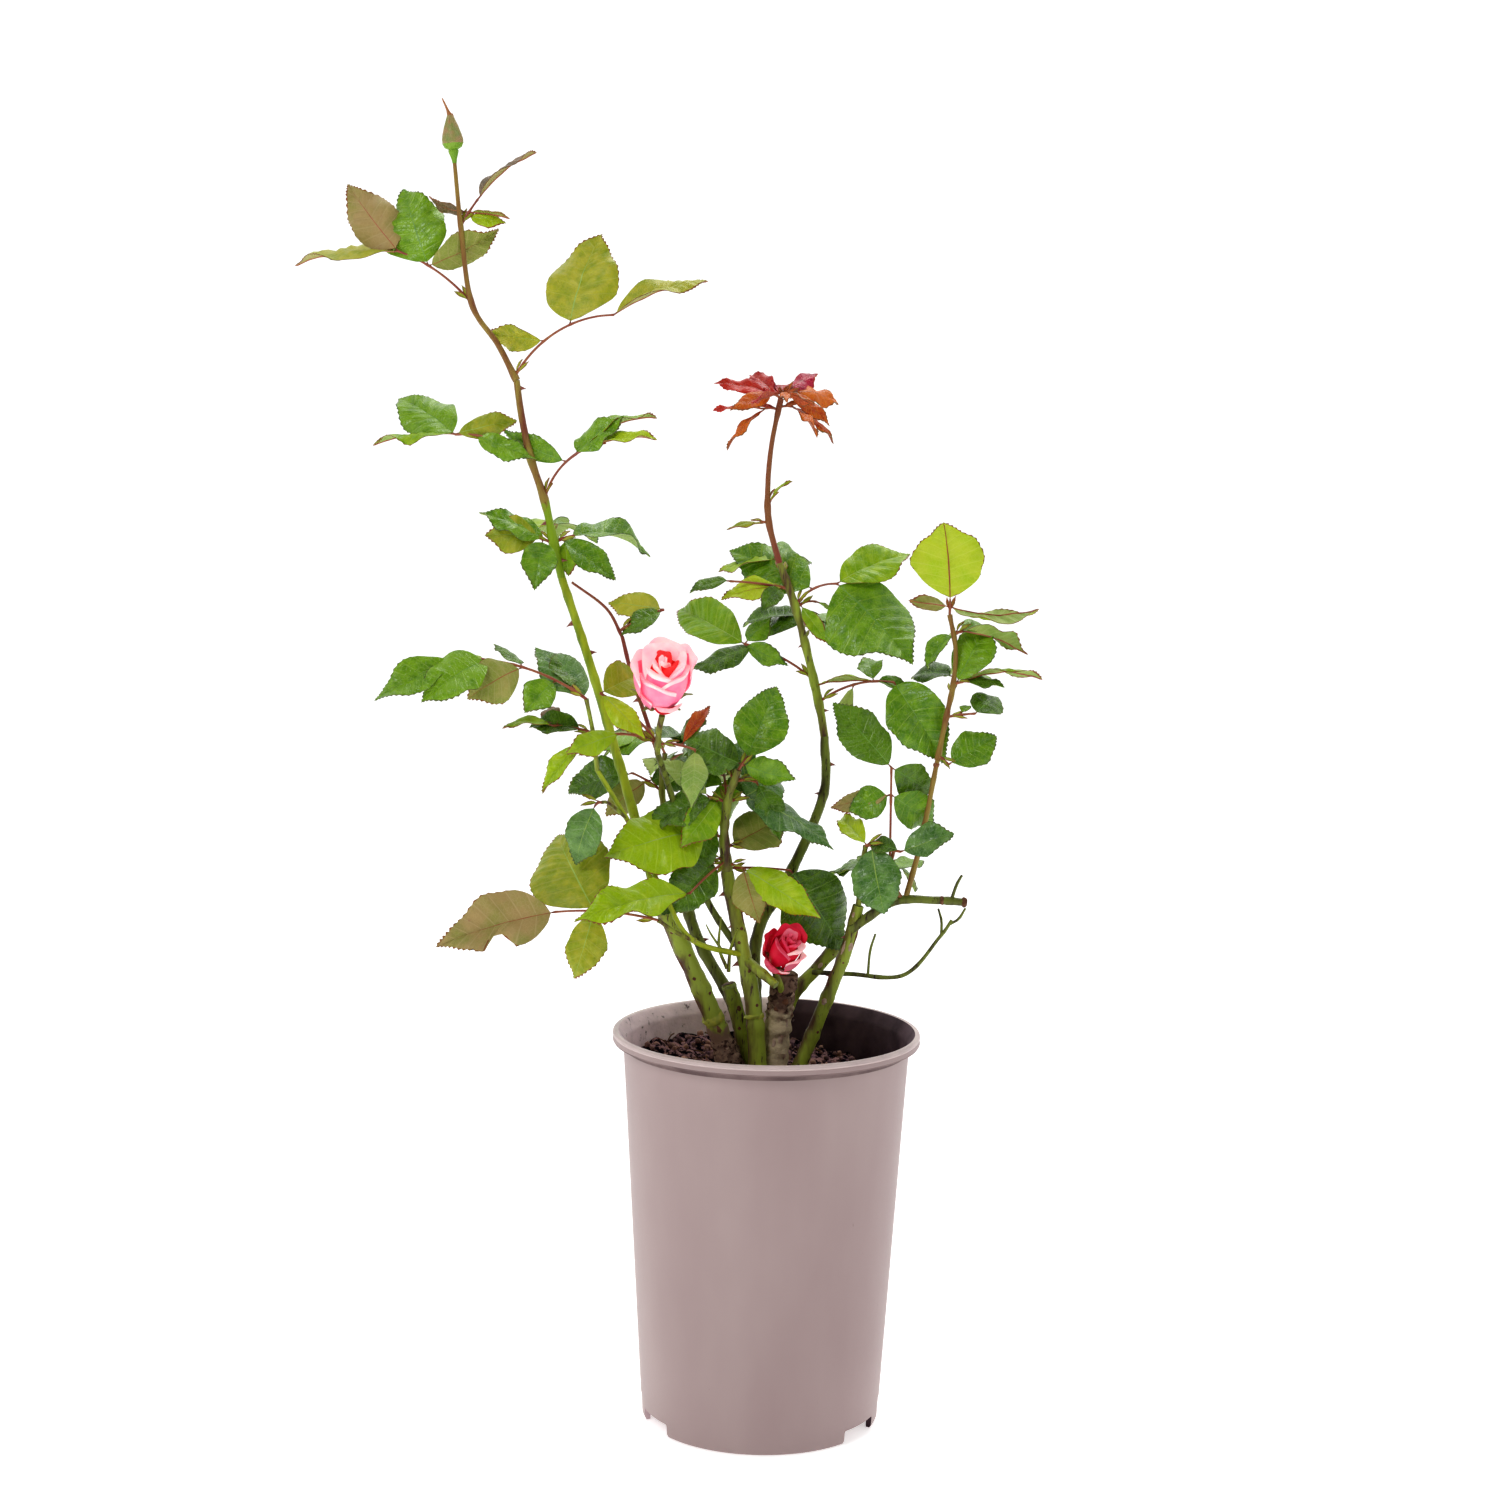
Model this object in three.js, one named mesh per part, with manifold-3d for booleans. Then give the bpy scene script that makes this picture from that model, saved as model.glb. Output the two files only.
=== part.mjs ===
// A rose bush in a deep nursery pot: canes cut short round a woody graft, three long shoots with
// compound leaves, an open pink bloom, a half-open red one, a closed bud and a whorl of young red leaves.
// Millimetres, +Z up. The front of the plant looks along -Y and the origin is on the pot's underside.
import * as THREE from "three";
import { mergeVertices } from "three/addons/utils/BufferGeometryUtils.js";
import Module from "manifold-3d";

const wasm = await Module();
wasm.setup();

// Driving dimensions
const CLEAR = 0.3;
const SMALLEST_EDGE = 0.02;
const POT_HEIGHT = 245;
const RIM_RADIUS = 95;
const WALL_TOP_RADIUS = 88.3;
const WALL_FOOT_RADIUS = 74;
const WALL = 1.6;
const LIP_HEIGHT = 7;
const FOOT_HEIGHT = 2;
const FOOT_RING_INNER = 70;
const FOOT_RING_OUTER = 72.6;
const HUB_RADIUS = 45;
const CHANNEL_HEIGHT = 9;
const FLOOR = 3;
const POT_SIDES = 30;
const NOTCH_COUNT = 3;
const NOTCH_WIDTH = 32;
const NOTCH_HEIGHT = 8;
const NOTCH_AZIMUTH = -153;
const SOIL_LEVEL = 216;
const SOIL_TILT = 0.11;
const SOIL_BUMP = 2.2;
const SOIL_RINGS = [0.8, 0.54, 0.28];
const CROWN_LEVEL = 205;
const LEAF_THICKNESS = 1.1;
const LEAF_CURL = 24;
const LEAF_WIDTH = 0.64;
const LEAF_ROOT = 0.4;
const PETIOLULE = 2.5;
const STALK_RADIUS = 0.95;
const STALK_STEPS = 8;
const LEAF_STATIONS = [0, 0.3, 0.66, 1];
const STEM_SIDES = 6;
const BUD_SIDES = 8;
const CORE_SIDES = 15;
const CORE_PROFILE = [
  [0, -0.1],
  [0.2, -0.06],
  [0.56, 0.1],
  [0.74, 0.3],
  [0.78, 0.52],
  [0.66, 0.78],
  [0.42, 0.94],
  [0, 0.96],
];
const PETAL_RIPPLE = 0.06;
const PETAL_TURN = 137.5;
const PETAL_THICKNESS = 2;
const DICE_RANGE = 2 ** 32;

// Limbs: the route of the middle line, the radius at foot and tip, and the side shoots that are one
// piece with it. A limb that springs from another starts inside it and is cut clear of it.
const LIMBS = [
  {
    name: "graft_stub",
    route: [[3, -2, CROWN_LEVEL], [7, -5, 250], [11, -10, 283]],
    radii: [8.2, 7.4],
    flare: 2.5,
    colour: 0x8a7263,
  },
  {
    name: "left_cane",
    route: [[-15, -5, CROWN_LEVEL], [-34, -14, 258], [-54, -23, 304], [-69, -30, 335]],
    radii: [6.5, 4.8],
    flare: 1.5,
    colour: 0x6f8a3c,
  },
  {
    name: "middle_cane",
    route: [[-4, -14, CROWN_LEVEL], [-8, -14, 260], [-17, -15, 304], [-26, -10, 345]],
    radii: [5.6, 4],
    flare: 1,
    colour: 0x6f8a3c,
    shoots: [{ route: [[-14, -15, 292], [-5, -26, 287], [5, -33, 280]], radii: [3.2, 2.6] }],
  },
  {
    name: "right_cane",
    route: [[14, -2, CROWN_LEVEL], [34, -2, 258], [48, -2, 296], [55, -2, 324]],
    radii: [4.6, 3.6],
    flare: 1,
    colour: 0x77933f,
  },
  {
    name: "dark_cane",
    route: [[-7, 14, CROWN_LEVEL], [-22, 17, 258], [-46, 24, 302], [-65, 30, 370]],
    radii: [4, 3.2],
    colour: 0x4f5b2a,
  },
  {
    name: "short_stub",
    route: [[-9, 2, CROWN_LEVEL], [-16, 2, 246], [-24, 2, 273]],
    radii: [4.6, 4.4],
    colour: 0x7a8a4a,
  },
  {
    name: "slant_cane",
    route: [[2, 12, CROWN_LEVEL], [14, 14, 258], [31, 16, 281], [46, 18, 298]],
    radii: [4.2, 3.8],
    colour: 0x6f8a3c,
  },
  {
    name: "whorl_cane",
    route: [[-1, 6, CROWN_LEVEL], [-7, 9, 262], [-6, 15, 304], [14, 23, 341], [33, 30, 388], [33, 33, 424]],
    radii: [4.2, 2.7],
    colour: 0x5f7d33,
  },
  {
    name: "cut_branch",
    route: [[50, -4, 309], [76, -9, 328], [102, -12, 330], [120, -12, 329]],
    radii: [2.9, 2.3],
    colour: 0x6f8a3c,
    shoots: [{ route: [[111, -12, 330], [114, -13, 340], [117, -14, 346]], radii: [1.1, 0.8] }],
  },
  {
    name: "right_shoot",
    route: [[83, -10, 329], [92, -9, 366], [101, -4, 415]],
    radii: [2, 1.7],
    colour: 0x8a6f3c,
  },
  {
    name: "spent_twig",
    route: [[28, 12, 279], [51, 4, 280], [84, -1, 281], [105, -6, 306], [112, -8, 317]],
    radii: [1.6, 1],
    colour: 0x7d9440,
    shoots: [
      { route: [[62, 3, 280], [63, 2, 295], [66, 1, 306]], radii: [0.9, 0.7] },
      { route: [[106, -6, 308], [106, -4, 316], [104, -2, 323]], radii: [0.9, 0.7] },
      { route: [[110, -7, 314], [116, -9, 318], [120, -10, 325]], radii: [0.9, 0.7] },
    ],
  },
  {
    name: "tall_cane",
    route: [[-64, -22, 318], [-89, 4, 395], [-112, 10, 469], [-130, 14, 521]],
    radii: [3.2, 2.5],
    colour: 0x84a63c,
  },
  {
    name: "rose_cane",
    route: [[-20, -13, 300], [-40, -11, 332], [-57, -12, 382], [-68, -48, 422]],
    radii: [2.2, 1.8],
    colour: 0x5e6b30,
  },
  {
    name: "side_twig",
    route: [[-67, -46, 419], [-84, -26, 464], [-91, -18, 488]],
    radii: [1.4, 1.2],
    colour: 0x7b4636,
  },
  {
    name: "left_shoot",
    route: [[-13, -15, 294], [-46, -38, 308], [-63, -38, 335], [-83, -20, 371], [-104, -40, 410]],
    radii: [1.7, 1.4],
    colour: 0x84a63c,
  },
];

// Masses of foliage: the limb whose tip the stem goes on from, the stem's further route and radii, and
// the leaves. A leaf is its place on the stem, counted in route points, its stalk's azimuth, rise, roll,
// length and droop, the length of its end leaflet, and its leaflets: a count for an even leaf, or a fan
// of leaflets, each with its place along the stalk, turn, lift, share of the length, twist and width.
const MASSES = [
  {
    name: "tall_shoot",
    from: "tall_cane",
    seed: 11,
    colour: 0x5f8f2f,
    route: [[-135, 14, 542], [-141, 16, 568], [-150, 18, 594], [-156, 21, 620], [-159, 22, 640]],
    radii: [2.5, 2],
    leaves: [
      [1, 20, 30, 50, 14, 20, 48, [[1, -11, 0, 1.15, -20], [0.1, -13, 10, 0.7], [0.5, 80, -30, 0.5]]],
      [0.95, 195, 40, -60, 9, 30, 44, [[1, -20, 0, 0.85], [0.9, 136, 10, 0.6, 20], [0.6, -60, -40, 0.7]]],
      [2, -8, 78, 50, 55, 70, 44,
        [[1, 46, -10, 0.75, -20], [0.6, 31, 10, 0.7], [0.95, -8, 0, 0.7, -30], [0.5, 103, 40, 1.1, -40]]],
      [3, 170, 34, -45, 50, 38, 48,
        [[1, -5, 0, 1.05, 40], [0.95, -43, 0, 1.15], [0.5, -36, 0, 0.6], [0.75, 170, 0, 0.9, 20]]],
      [1.6, 95, 55, 0, 24, 40, 38, 3],
    ],
  },
  {
    name: "tall_tip",
    from: "tall_shoot",
    seed: 21,
    colour: 0x8a8f45,
    route: [[-171, 24, 662], [-187, 26, 686], [-194, 28, 732], [-198, 28, 771]],
    radii: [2, 1.2],
    leaves: [
      [0.1, -20, 59, 70, 78, 58, 56,
        [[1, 26, 0, 1, -50], [0.64, 82, 5, 1, 0, 0.74], [0.38, 111, 10, 0.7, -40]]],
      [2, 165, 48, -65, 58, 30, 54,
        [[1, 14, 0, 1.2, 42], [0.62, -32, 5, 0.98], [0.62, -128, 15, 0.92, 60],
          [0.95, -18, 5, 0.95, 0, 0.8]]],
      [3, 25, 62, 40, 20, 10, 46,
        [[1, -10, 0, 1, -45], [0.5, 107, 0, 0.5, -40], [0.5, -75, 0, 0.5, -50], [0.4, -118, 10, 0.45]]],
    ],
    bud: { neck: 1.6, hip: 3.4, radius: 6, height: 37 },
  },
  {
    name: "whorl_leaves",
    from: "whorl_cane",
    seed: 31,
    colour: 0x4f8a35,
    route: [[29, 34, 445], [20, 36, 481], [12, 38, 508], [3, 38, 531]],
    radii: [2.6, 2],
    leaves: [
      [1, -20, 40, 60, 52, 45, 56,
        [[1, -50, 0, 1.05, 0, 0.74], [0.8, 103, -10, 0.5], [0.75, -4, 0, 0.34, -40], [0.5, 30, -50, 0.6]]],
      [1.4, 165, 40, -55, 50, 30, 52,
        [[0.85, 16, 0, 0.76, 30], [1, -27, -8, 1.25], [0.72, -26, 10, 0.48], [0.72, -153, 10, 0.4, 30]]],
      [2.8, 30, 45, 45, 16, 60, 28, [[1, -5, 0, 0.8, -40], [0.3, -100, 0, 1, 20]]],
      [2.85, -5, 62, 60, 31, 64, 57,
        [[1, -52, 5, 1.12, 0, 0.7], [1, 38, -10, 0.85, -25], [0.55, 143, 0, 1.1, 15]]],
      [3.3, 195, 12, -30, 38, 10, 42, [[1, 0, 0, 0.6], [0.1, -9, -5, 0.85], [0.7, -60, -30, 0.5]]],
      [2, 95, 50, 0, 34, 40, 46, 5],
      [3.6, 110, 50, 0, 26, 40, 40, 3],
    ],
  },
  {
    name: "red_whorl",
    from: "whorl_leaves",
    seed: 41,
    colour: 0x9c3b32,
    route: [[-4, 38, 556], [-5, 38, 580], [-3, 38, 605], [2, 38, 632]],
    radii: [2, 1.4],
    leaves: [
      [3, 182, 20, -20, 8, 30, 30, [[1, 0, 0, 1], [1, 60, 0, 0.9]]],
      [3.2, 0, 20, 20, 8, 30, 30, [[1, 0, 0, 1], [1, -50, 0, 0.8]]],
      [4, 170, 40, -40, 9, 30, 33, 3],
      [4, 10, 45, 40, 9, 30, 33, 3],
      [4, -80, 45, 0, 8, 20, 24, 3],
      [4, 90, 45, 0, 8, 20, 28, 3],
      [1, 178, 5, -30, 5, 10, 20, [[1, 10, 0, 1, 0, 0.3]]],
      [1.4, 0, 70, 30, 4, 10, 16, [[1, 0, 0, 1, 0, 0.35]]],
    ],
  },
  {
    name: "right_leaves",
    from: "right_shoot",
    seed: 51,
    colour: 0x6b9a35,
    route: [[106, 0, 441], [110, 4, 461], [111, 6, 482], [107, 8, 503]],
    radii: [1.7, 1.3],
    leaves: [
      [0.1, -40, -20, 50, 9, 20, 40, [[1, 84, 0, 0.9]]],
      [1, 10, 12, 40, 18, 10, 27, [[1, 48, 0, 1.1, 0, 0.8], [0.5, 50, 0, 0.4]]],
      [2, -10, 20, 30, 6, 10, 46, [[1, -2, 0, 0.5], [1, 8, -10, 1.1, -50], [0.4, 35, 30, 1, -20]]],
      [3.4, 15, 50, 30, 6, 50, 44,
        [[1, 0, 0, 1, -50], [0.8, 60, -40, 0.6], [0.3, 110, -30, 0.5], [0.3, 165, 0, 0.6]]],
      [4, -90, 88, 0, 8, 0, 50, [[1, -2, 0, 1, 0, 0.86], [0.6, 88, 0, 1.1, -65], [0.6, -50, 0, 0.5, 40]]],
      [1.6, 80, 50, 0, 24, 30, 36, 3],
    ],
  },
  {
    name: "right_middle",
    from: "cut_branch",
    side: 0.4,
    seed: 61,
    colour: 0x3f7a2c,
    route: [[73, -15, 345], [75, -20, 362]],
    radii: [1.3, 1.1],
    leaves: [
      [1, 90, 84, 0, 66, 5, 53,
        [[1, 42, 0, 1], [0.95, -55, -10, 0.5], [0.88, -140, 0, 0.42], [0.7, -118, 0, 0.62, 0, 0.8],
          [0.7, 112, 0, 0.48, 0, 0.8]]],
      [0.6, 100, 40, 0, 30, 40, 42, 5],
    ],
  },
  {
    name: "right_low",
    from: "right_cane",
    seed: 71,
    colour: 0x3f7a2c,
    route: [[56, -8, 345], [58, -14, 363]],
    radii: [1.8, 1.4],
    leaves: [
      [2, -30, 30, 60, 4, 40, 43, [[1, -60, 5, 1, 0, 0.85], [0.3, 143, 0, 0.85, 20]]],
      [1.7, -40, 20, 50, 28, 20, 32, [[1, 26, 0, 1, -20]]],
    ],
  },
  {
    name: "centre_leaves",
    from: "middle_cane",
    seed: 81,
    colour: 0x4c8632,
    route: [[-28, -12, 368], [-26, -16, 390], [-20, -20, 409]],
    radii: [3, 1.8],
    leaves: [
      [0.85, 190, 40, -60, 14, 20, 60, [[1, 43, 10, 1.1, 0, 0.72], [1, -118, 0, 0.85, 10]]],
      [0.3, 242, -12, -60, 46, 10, 66, [[1, -29, -20, 1.1, 25]]],
      [1.9, 10, 30, 50, 10, 20, 54, [[1, -31, 10, 1.1, -40], [0.5, 80, -20, 0.7]]],
      [3, 10, 60, 60, 8, 10, 54, [[1, 15, 0, 0.9], [0.5, -70, 0, 0.8, 20], [0.5, 80, -10, 0.8]]],
      [0.2, -30, 10, 60, 12, 30, 52, [[1, 3, 0, 1], [1, -47, 0, 0.7]]],
      [0.7, -15, 10, 50, 4, 20, 54, [[1, 22, 0, 0.95, 0, 0.75]]],
      [0.1, 12, 2, 75, 40, 10, 60, [[1, -42, 4, 1, 0, 0.82]]],
      [1.8, 95, 50, 0, 34, 40, 44, 5],
      [2.6, 120, 50, 0, 24, 40, 40, 3],
    ],
  },
  {
    name: "low_bloom",
    from: "graft_stub",
    side: 0.7,
    seed: 91,
    colour: 0xc2283a,
    route: [[8, -18, 276], [4, -26, 287]],
    radii: [2, 1.9],
    leaves: [],
    bloom: { axis: [0.35, -0.3, 0.9], radius: 17, height: 34, petals: 5, opening: 16 },
  },
  {
    name: "rose_leaves",
    from: "rose_cane",
    seed: 101,
    colour: 0xe88f9c,
    route: [[-67, -57, 436], [-65, -62, 446]],
    radii: [1.8, 1.9],
    leaves: [
      [0.4, 185, 56, -50, 46, 30, 36, [[1, 148, 10, 1, 0, 0.7]]],
      [0.4, -20, 10, 40, 24, 30, 48, [[1, -28, 0, 1, 0, 0.42], [0.6, -80, 10, 0.8], [0.6, 60, 0, 0.6]]],
      [0.4, 185, 30, -50, 46, 60, 46, [[1, 15, 0, 0.75], [0.5, 15, 10, 0.75]]],
    ],
    bloom: { axis: [0.02, -0.4, 0.92], radius: 19.5, height: 48, petals: 7, opening: 26 },
  },
  {
    name: "left_leaves",
    from: "left_shoot",
    seed: 111,
    colour: 0x7d9a48,
    route: [[-106, -48, 432], [-110, -54, 454]],
    radii: [1.4, 1.2],
    leaves: [
      [2, 182, 36, -50, 84, 40, 50,
        [[1, 31, 0, 0.98], [0.8, 42, 10, 0.85], [0.8, -12, 0, 0.4, 30], [0.56, 43, 0, 0.8],
          [0.5, -24, -10, 0.45, 30], [0.1, -28, 15, 1.1, 10], [0.12, -37, -20, 0.8]]],
      [1.05, 180, 20, -50, 24, 20, 36, [[1, -5, 0, 1, 35], [0.9, -60, 0, 0.6], [0.25, -10, 0, 0.9]]],
    ],
  },
  {
    name: "low_left_leaves",
    from: "left_shoot",
    side: 0.25,
    seed: 121,
    colour: 0x9a8a4a,
    route: [[-56, -45, 314], [-66, -51, 322]],
    radii: [1.4, 1.2],
    leaves: [
      [2, 182, 14, -75, 62, 20, 62,
        [[1, -3, 0, 1.1, 0, 0.52], [0.62, -64, -28, 1.06], [0.62, 78, 5, 0.6]]],
    ],
  },
  {
    name: "hanging_leaf",
    from: "left_shoot",
    side: 0.8,
    seed: 131,
    colour: 0x3a6b35,
    route: [[-97, -38, 390], [-101, -42, 391]],
    radii: [1.1, 0.9],
    leaves: [[2, 188, 10, -60, 4, 60, 40, [[1, 20, 4, 0.9, 0, 0.66]]]],
  },
  {
    name: "dark_cane_leaves",
    from: "dark_cane",
    seed: 141,
    colour: 0x3a5f2c,
    route: [[-68, 32, 392], [-66, 30, 412]],
    radii: [2.2, 1.4],
    leaves: [
      [0.8, 170, 40, -50, 22, 20, 50, [[1, 10, 0, 1], [0.5, 70, 0, 0.9], [0.5, -40, 0, 0.8]]],
      [1.4, 60, 40, 0, 26, 40, 46, 5],
      [2, 120, 40, 0, 30, 40, 46, 5],
    ],
  },
  {
    name: "twig_leaves",
    from: "side_twig",
    seed: 151,
    colour: 0x4c8632,
    route: [[-101, -16, 505], [-122, -12, 520]],
    radii: [1, 0.8],
    leaves: [
      [0.2, 10, 36, 50, 30, 20, 44, [[1, 146, 0, 0.85], [1, -166, 10, 0.65]]],
    ],
  },
];

const POT_COLOUR = 0xac9898;
const SOIL_COLOUR = 0x2f2320;

const radians = THREE.MathUtils.degToRad;
const vector = (point) => new THREE.Vector3(...point);

// A die with a seed, so that every leaf falls the same way each time.
class Dice {
  constructor(seed) {
    this.state = (seed * 2654435761) % DICE_RANGE;
  }

  roll() {
    this.state = (this.state * 1664525 + 1013904223) % DICE_RANGE;
    return this.state / DICE_RANGE;
  }

  swing(amount) {
    return (2 * this.roll() - 1) * amount;
  }
}

function material(colour, roughness) {
  return new THREE.MeshStandardMaterial({ color: colour, roughness, metalness: 0 });
}

// A closed geometry as a solid that can be joined and cut.
function solid(geometry) {
  const bare = geometry.clone();
  bare.deleteAttribute("normal");
  bare.deleteAttribute("uv");
  const merged = mergeVertices(bare, 1e-4);
  const mesh = new wasm.Mesh({
    numProp: 3,
    vertProperties: new Float32Array(merged.getAttribute("position").array),
    triVerts: new Uint32Array(merged.index.array),
  });
  return new wasm.Manifold(mesh);
}

// The largest piece of a solid, as a named mesh.
function meshOf(name, body, finish) {
  const made = largest(body.simplify(SMALLEST_EDGE)).getMesh();
  const geometry = new THREE.BufferGeometry();
  geometry.setAttribute("position", new THREE.BufferAttribute(made.vertProperties, 3));
  geometry.setIndex(new THREE.BufferAttribute(made.triVerts, 1));
  geometry.computeVertexNormals();
  const mesh = new THREE.Mesh(geometry, finish);
  mesh.name = name;
  return mesh;
}

function largest(body) {
  return body.decompose().reduce((best, piece) => (piece.volume() > best.volume() ? piece : best));
}

// A profile of radius and height pairs turned about the Z axis.
function turned(profile, sides) {
  const points = profile.map(([radius, height]) => new THREE.Vector2(radius, height));
  return new THREE.LatheGeometry(points, sides).rotateX(Math.PI / 2);
}

function curveThrough(route) {
  return new THREE.CatmullRomCurve3(route.map(vector), false, "catmullrom", 0.5);
}

// A round bar bent along a curve. Its radius is a function of the way along, and more lengthens its ends.
function bar(line, radiusAt, sides, steps, more = 0) {
  const frames = line.computeFrenetFrames(steps, false);
  const skin = new THREE.CylinderGeometry(1, 1, 1, sides, steps);
  const spots = skin.getAttribute("position");
  for (let i = 0; i < spots.count; i++) {
    const step = Math.round((spots.getY(i) + 0.5) * steps);
    const radius = radiusAt(step / steps);
    const place = line.getPointAt(step / steps);
    const push = step === 0 ? -more : step === steps ? more : 0;
    place.addScaledVector(frames.tangents[step], push);
    place.addScaledVector(frames.binormals[step], spots.getX(i) * radius);
    place.addScaledVector(frames.normals[step], spots.getZ(i) * radius);
    spots.setXYZ(i, place.x, place.y, place.z);
  }
  return solid(skin);
}

// A limb's solid, grown by a clearance where it is the tool that cuts its neighbours clear.
function limbSolid({ route, radii, flare = 0, shoots = [] }, grow = 0) {
  const [foot, tip] = radii;
  const radiusAt = (t) => foot + (tip - foot) * t + flare * (1 - t) ** 6 + grow;
  const sides = foot > 2.4 ? 8 : 6;
  const main = bar(curveThrough(route), radiusAt, sides, 2 * (route.length - 1), grow);
  return shoots.reduce((whole, shoot) => whole.add(limbSolid(shoot, grow)), main);
}

function boxesMeet(a, b) {
  return [0, 1, 2].every((k) => a.min[k] < b.max[k] + CLEAR && b.min[k] < a.max[k] + CLEAR);
}

// The body less every tool whose box it meets.
function clearedOf(body, tools) {
  const box = body.boundingBox();
  const near = tools.filter((tool) => boxesMeet(box, tool.boundingBox()));
  return near.reduce((rest, tool) => rest.subtract(tool), body);
}

function touches(body, others) {
  const box = body.boundingBox();
  return others.some((other) => boxesMeet(box, other.boundingBox()) && body.minGap(other, 2 * CLEAR) < CLEAR);
}

// The pot

const innerRadius = (height) =>
  WALL_FOOT_RADIUS - WALL + ((WALL_TOP_RADIUS - WALL_FOOT_RADIUS) * (height - FOOT_HEIGHT)) /
    (POT_HEIGHT - LIP_HEIGHT - FOOT_HEIGHT);

function potSolid() {
  const lipFoot = POT_HEIGHT - LIP_HEIGHT;
  const floorTop = CHANNEL_HEIGHT + FLOOR;
  const profile = [
    [0, 0],
    [HUB_RADIUS, 0],
    [HUB_RADIUS + 2, CHANNEL_HEIGHT],
    [FOOT_RING_INNER, CHANNEL_HEIGHT],
    [FOOT_RING_INNER, 0],
    [FOOT_RING_OUTER, 0],
    [WALL_FOOT_RADIUS, FOOT_HEIGHT],
    [WALL_TOP_RADIUS, lipFoot],
    [RIM_RADIUS - 1.2, lipFoot + 1.2],
    [RIM_RADIUS, lipFoot + 2.6],
    [RIM_RADIUS, POT_HEIGHT - 1.6],
    [RIM_RADIUS - 1.4, POT_HEIGHT],
    [RIM_RADIUS - 3.6, POT_HEIGHT],
    [innerRadius(lipFoot) + 1.4, POT_HEIGHT - 2.4],
    [innerRadius(lipFoot), lipFoot],
    [innerRadius(floorTop + 3), floorTop + 3],
    [innerRadius(floorTop) - 2, floorTop],
    [HUB_RADIUS + 3.4, floorTop],
    [HUB_RADIUS + 0.4, FLOOR],
    [0, FLOOR],
  ];
  const shell = solid(turned(profile, POT_SIDES));
  const notches = Array.from({ length: NOTCH_COUNT }, (_, k) => {
    const box = new THREE.BoxGeometry(14, NOTCH_WIDTH, 2 * NOTCH_HEIGHT);
    box.translate(FOOT_RING_OUTER + 1, 0, 0);
    return solid(box.rotateZ(radians(NOTCH_AZIMUTH + (360 / NOTCH_COUNT) * k)));
  });
  return clearedOf(shell, notches);
}

// The potting soil: heaped at the back left, low at the right, with an uneven face.
function soilSolid() {
  const floorTop = CHANNEL_HEIGHT + FLOOR + CLEAR;
  const wallAt = (height) => innerRadius(height) - CLEAR;
  const profile = [
    [0, FLOOR + CLEAR],
    [HUB_RADIUS + 0.1, FLOOR + CLEAR],
    [HUB_RADIUS + 3.1, floorTop],
    [wallAt(floorTop) - 2.2, floorTop],
    [wallAt(floorTop + 3), floorTop + 3],
    [wallAt(SOIL_LEVEL), SOIL_LEVEL],
    ...SOIL_RINGS.map((share) => [wallAt(SOIL_LEVEL) * share, SOIL_LEVEL]),
    [0, SOIL_LEVEL],
  ];
  const skin = turned(profile, POT_SIDES);
  const spots = skin.getAttribute("position");
  for (let i = 0; i < spots.count; i++) {
    if (spots.getZ(i) < SOIL_LEVEL - 1) continue;
    const [x, y] = [spots.getX(i), spots.getY(i)];
    const bumps = Math.sin(x / 7 + 1) * Math.cos(y / 9) + Math.sin((x + y) / 12) * Math.cos((x - y) / 5);
    const height = SOIL_LEVEL + SOIL_TILT * (y * 0.4 - x) + SOIL_BUMP * bumps;
    const spread = wallAt(height) / wallAt(SOIL_LEVEL);
    spots.setXYZ(i, x * spread, y * spread, height);
  }
  return solid(skin);
}

// Foliage

// A leaf's stalk as frames of point, tangent, side and upper side.
function stalkFrames(foot, azimuth, rise, roll, reach, droop) {
  const around = radians(azimuth);
  const heading = (along) => {
    const up = radians(rise - droop * along);
    return new THREE.Vector3(Math.cos(up) * Math.cos(around), Math.cos(up) * Math.sin(around), Math.sin(up));
  };
  const level = new THREE.Vector3(-Math.sin(around), Math.cos(around), 0);
  const place = foot.clone();
  return Array.from({ length: STALK_STEPS + 1 }, (_, k) => {
    const tangent = heading(k / STALK_STEPS);
    const side = level.clone().applyAxisAngle(tangent, radians(roll));
    const frame = { place: place.clone(), tangent, side, upper: tangent.clone().cross(side) };
    place.addScaledVector(heading((k + 0.5) / STALK_STEPS), reach / STALK_STEPS);
    return frame;
  });
}

// The leaflets of an even leaf: one at the end and the rest in pairs.
function evenFan(count) {
  const pairs = (count - 1) / 2;
  const fan = [[1, 0, -10, 1]];
  for (let k = 0; k < pairs; k++) {
    const along = 1 - ((k + 0.6) * 0.62) / (pairs + 0.2);
    fan.push([along, 56, -6, 0.92 - 0.13 * k], [along, -56, -6, 0.92 - 0.13 * k]);
  }
  return fan;
}

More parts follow.
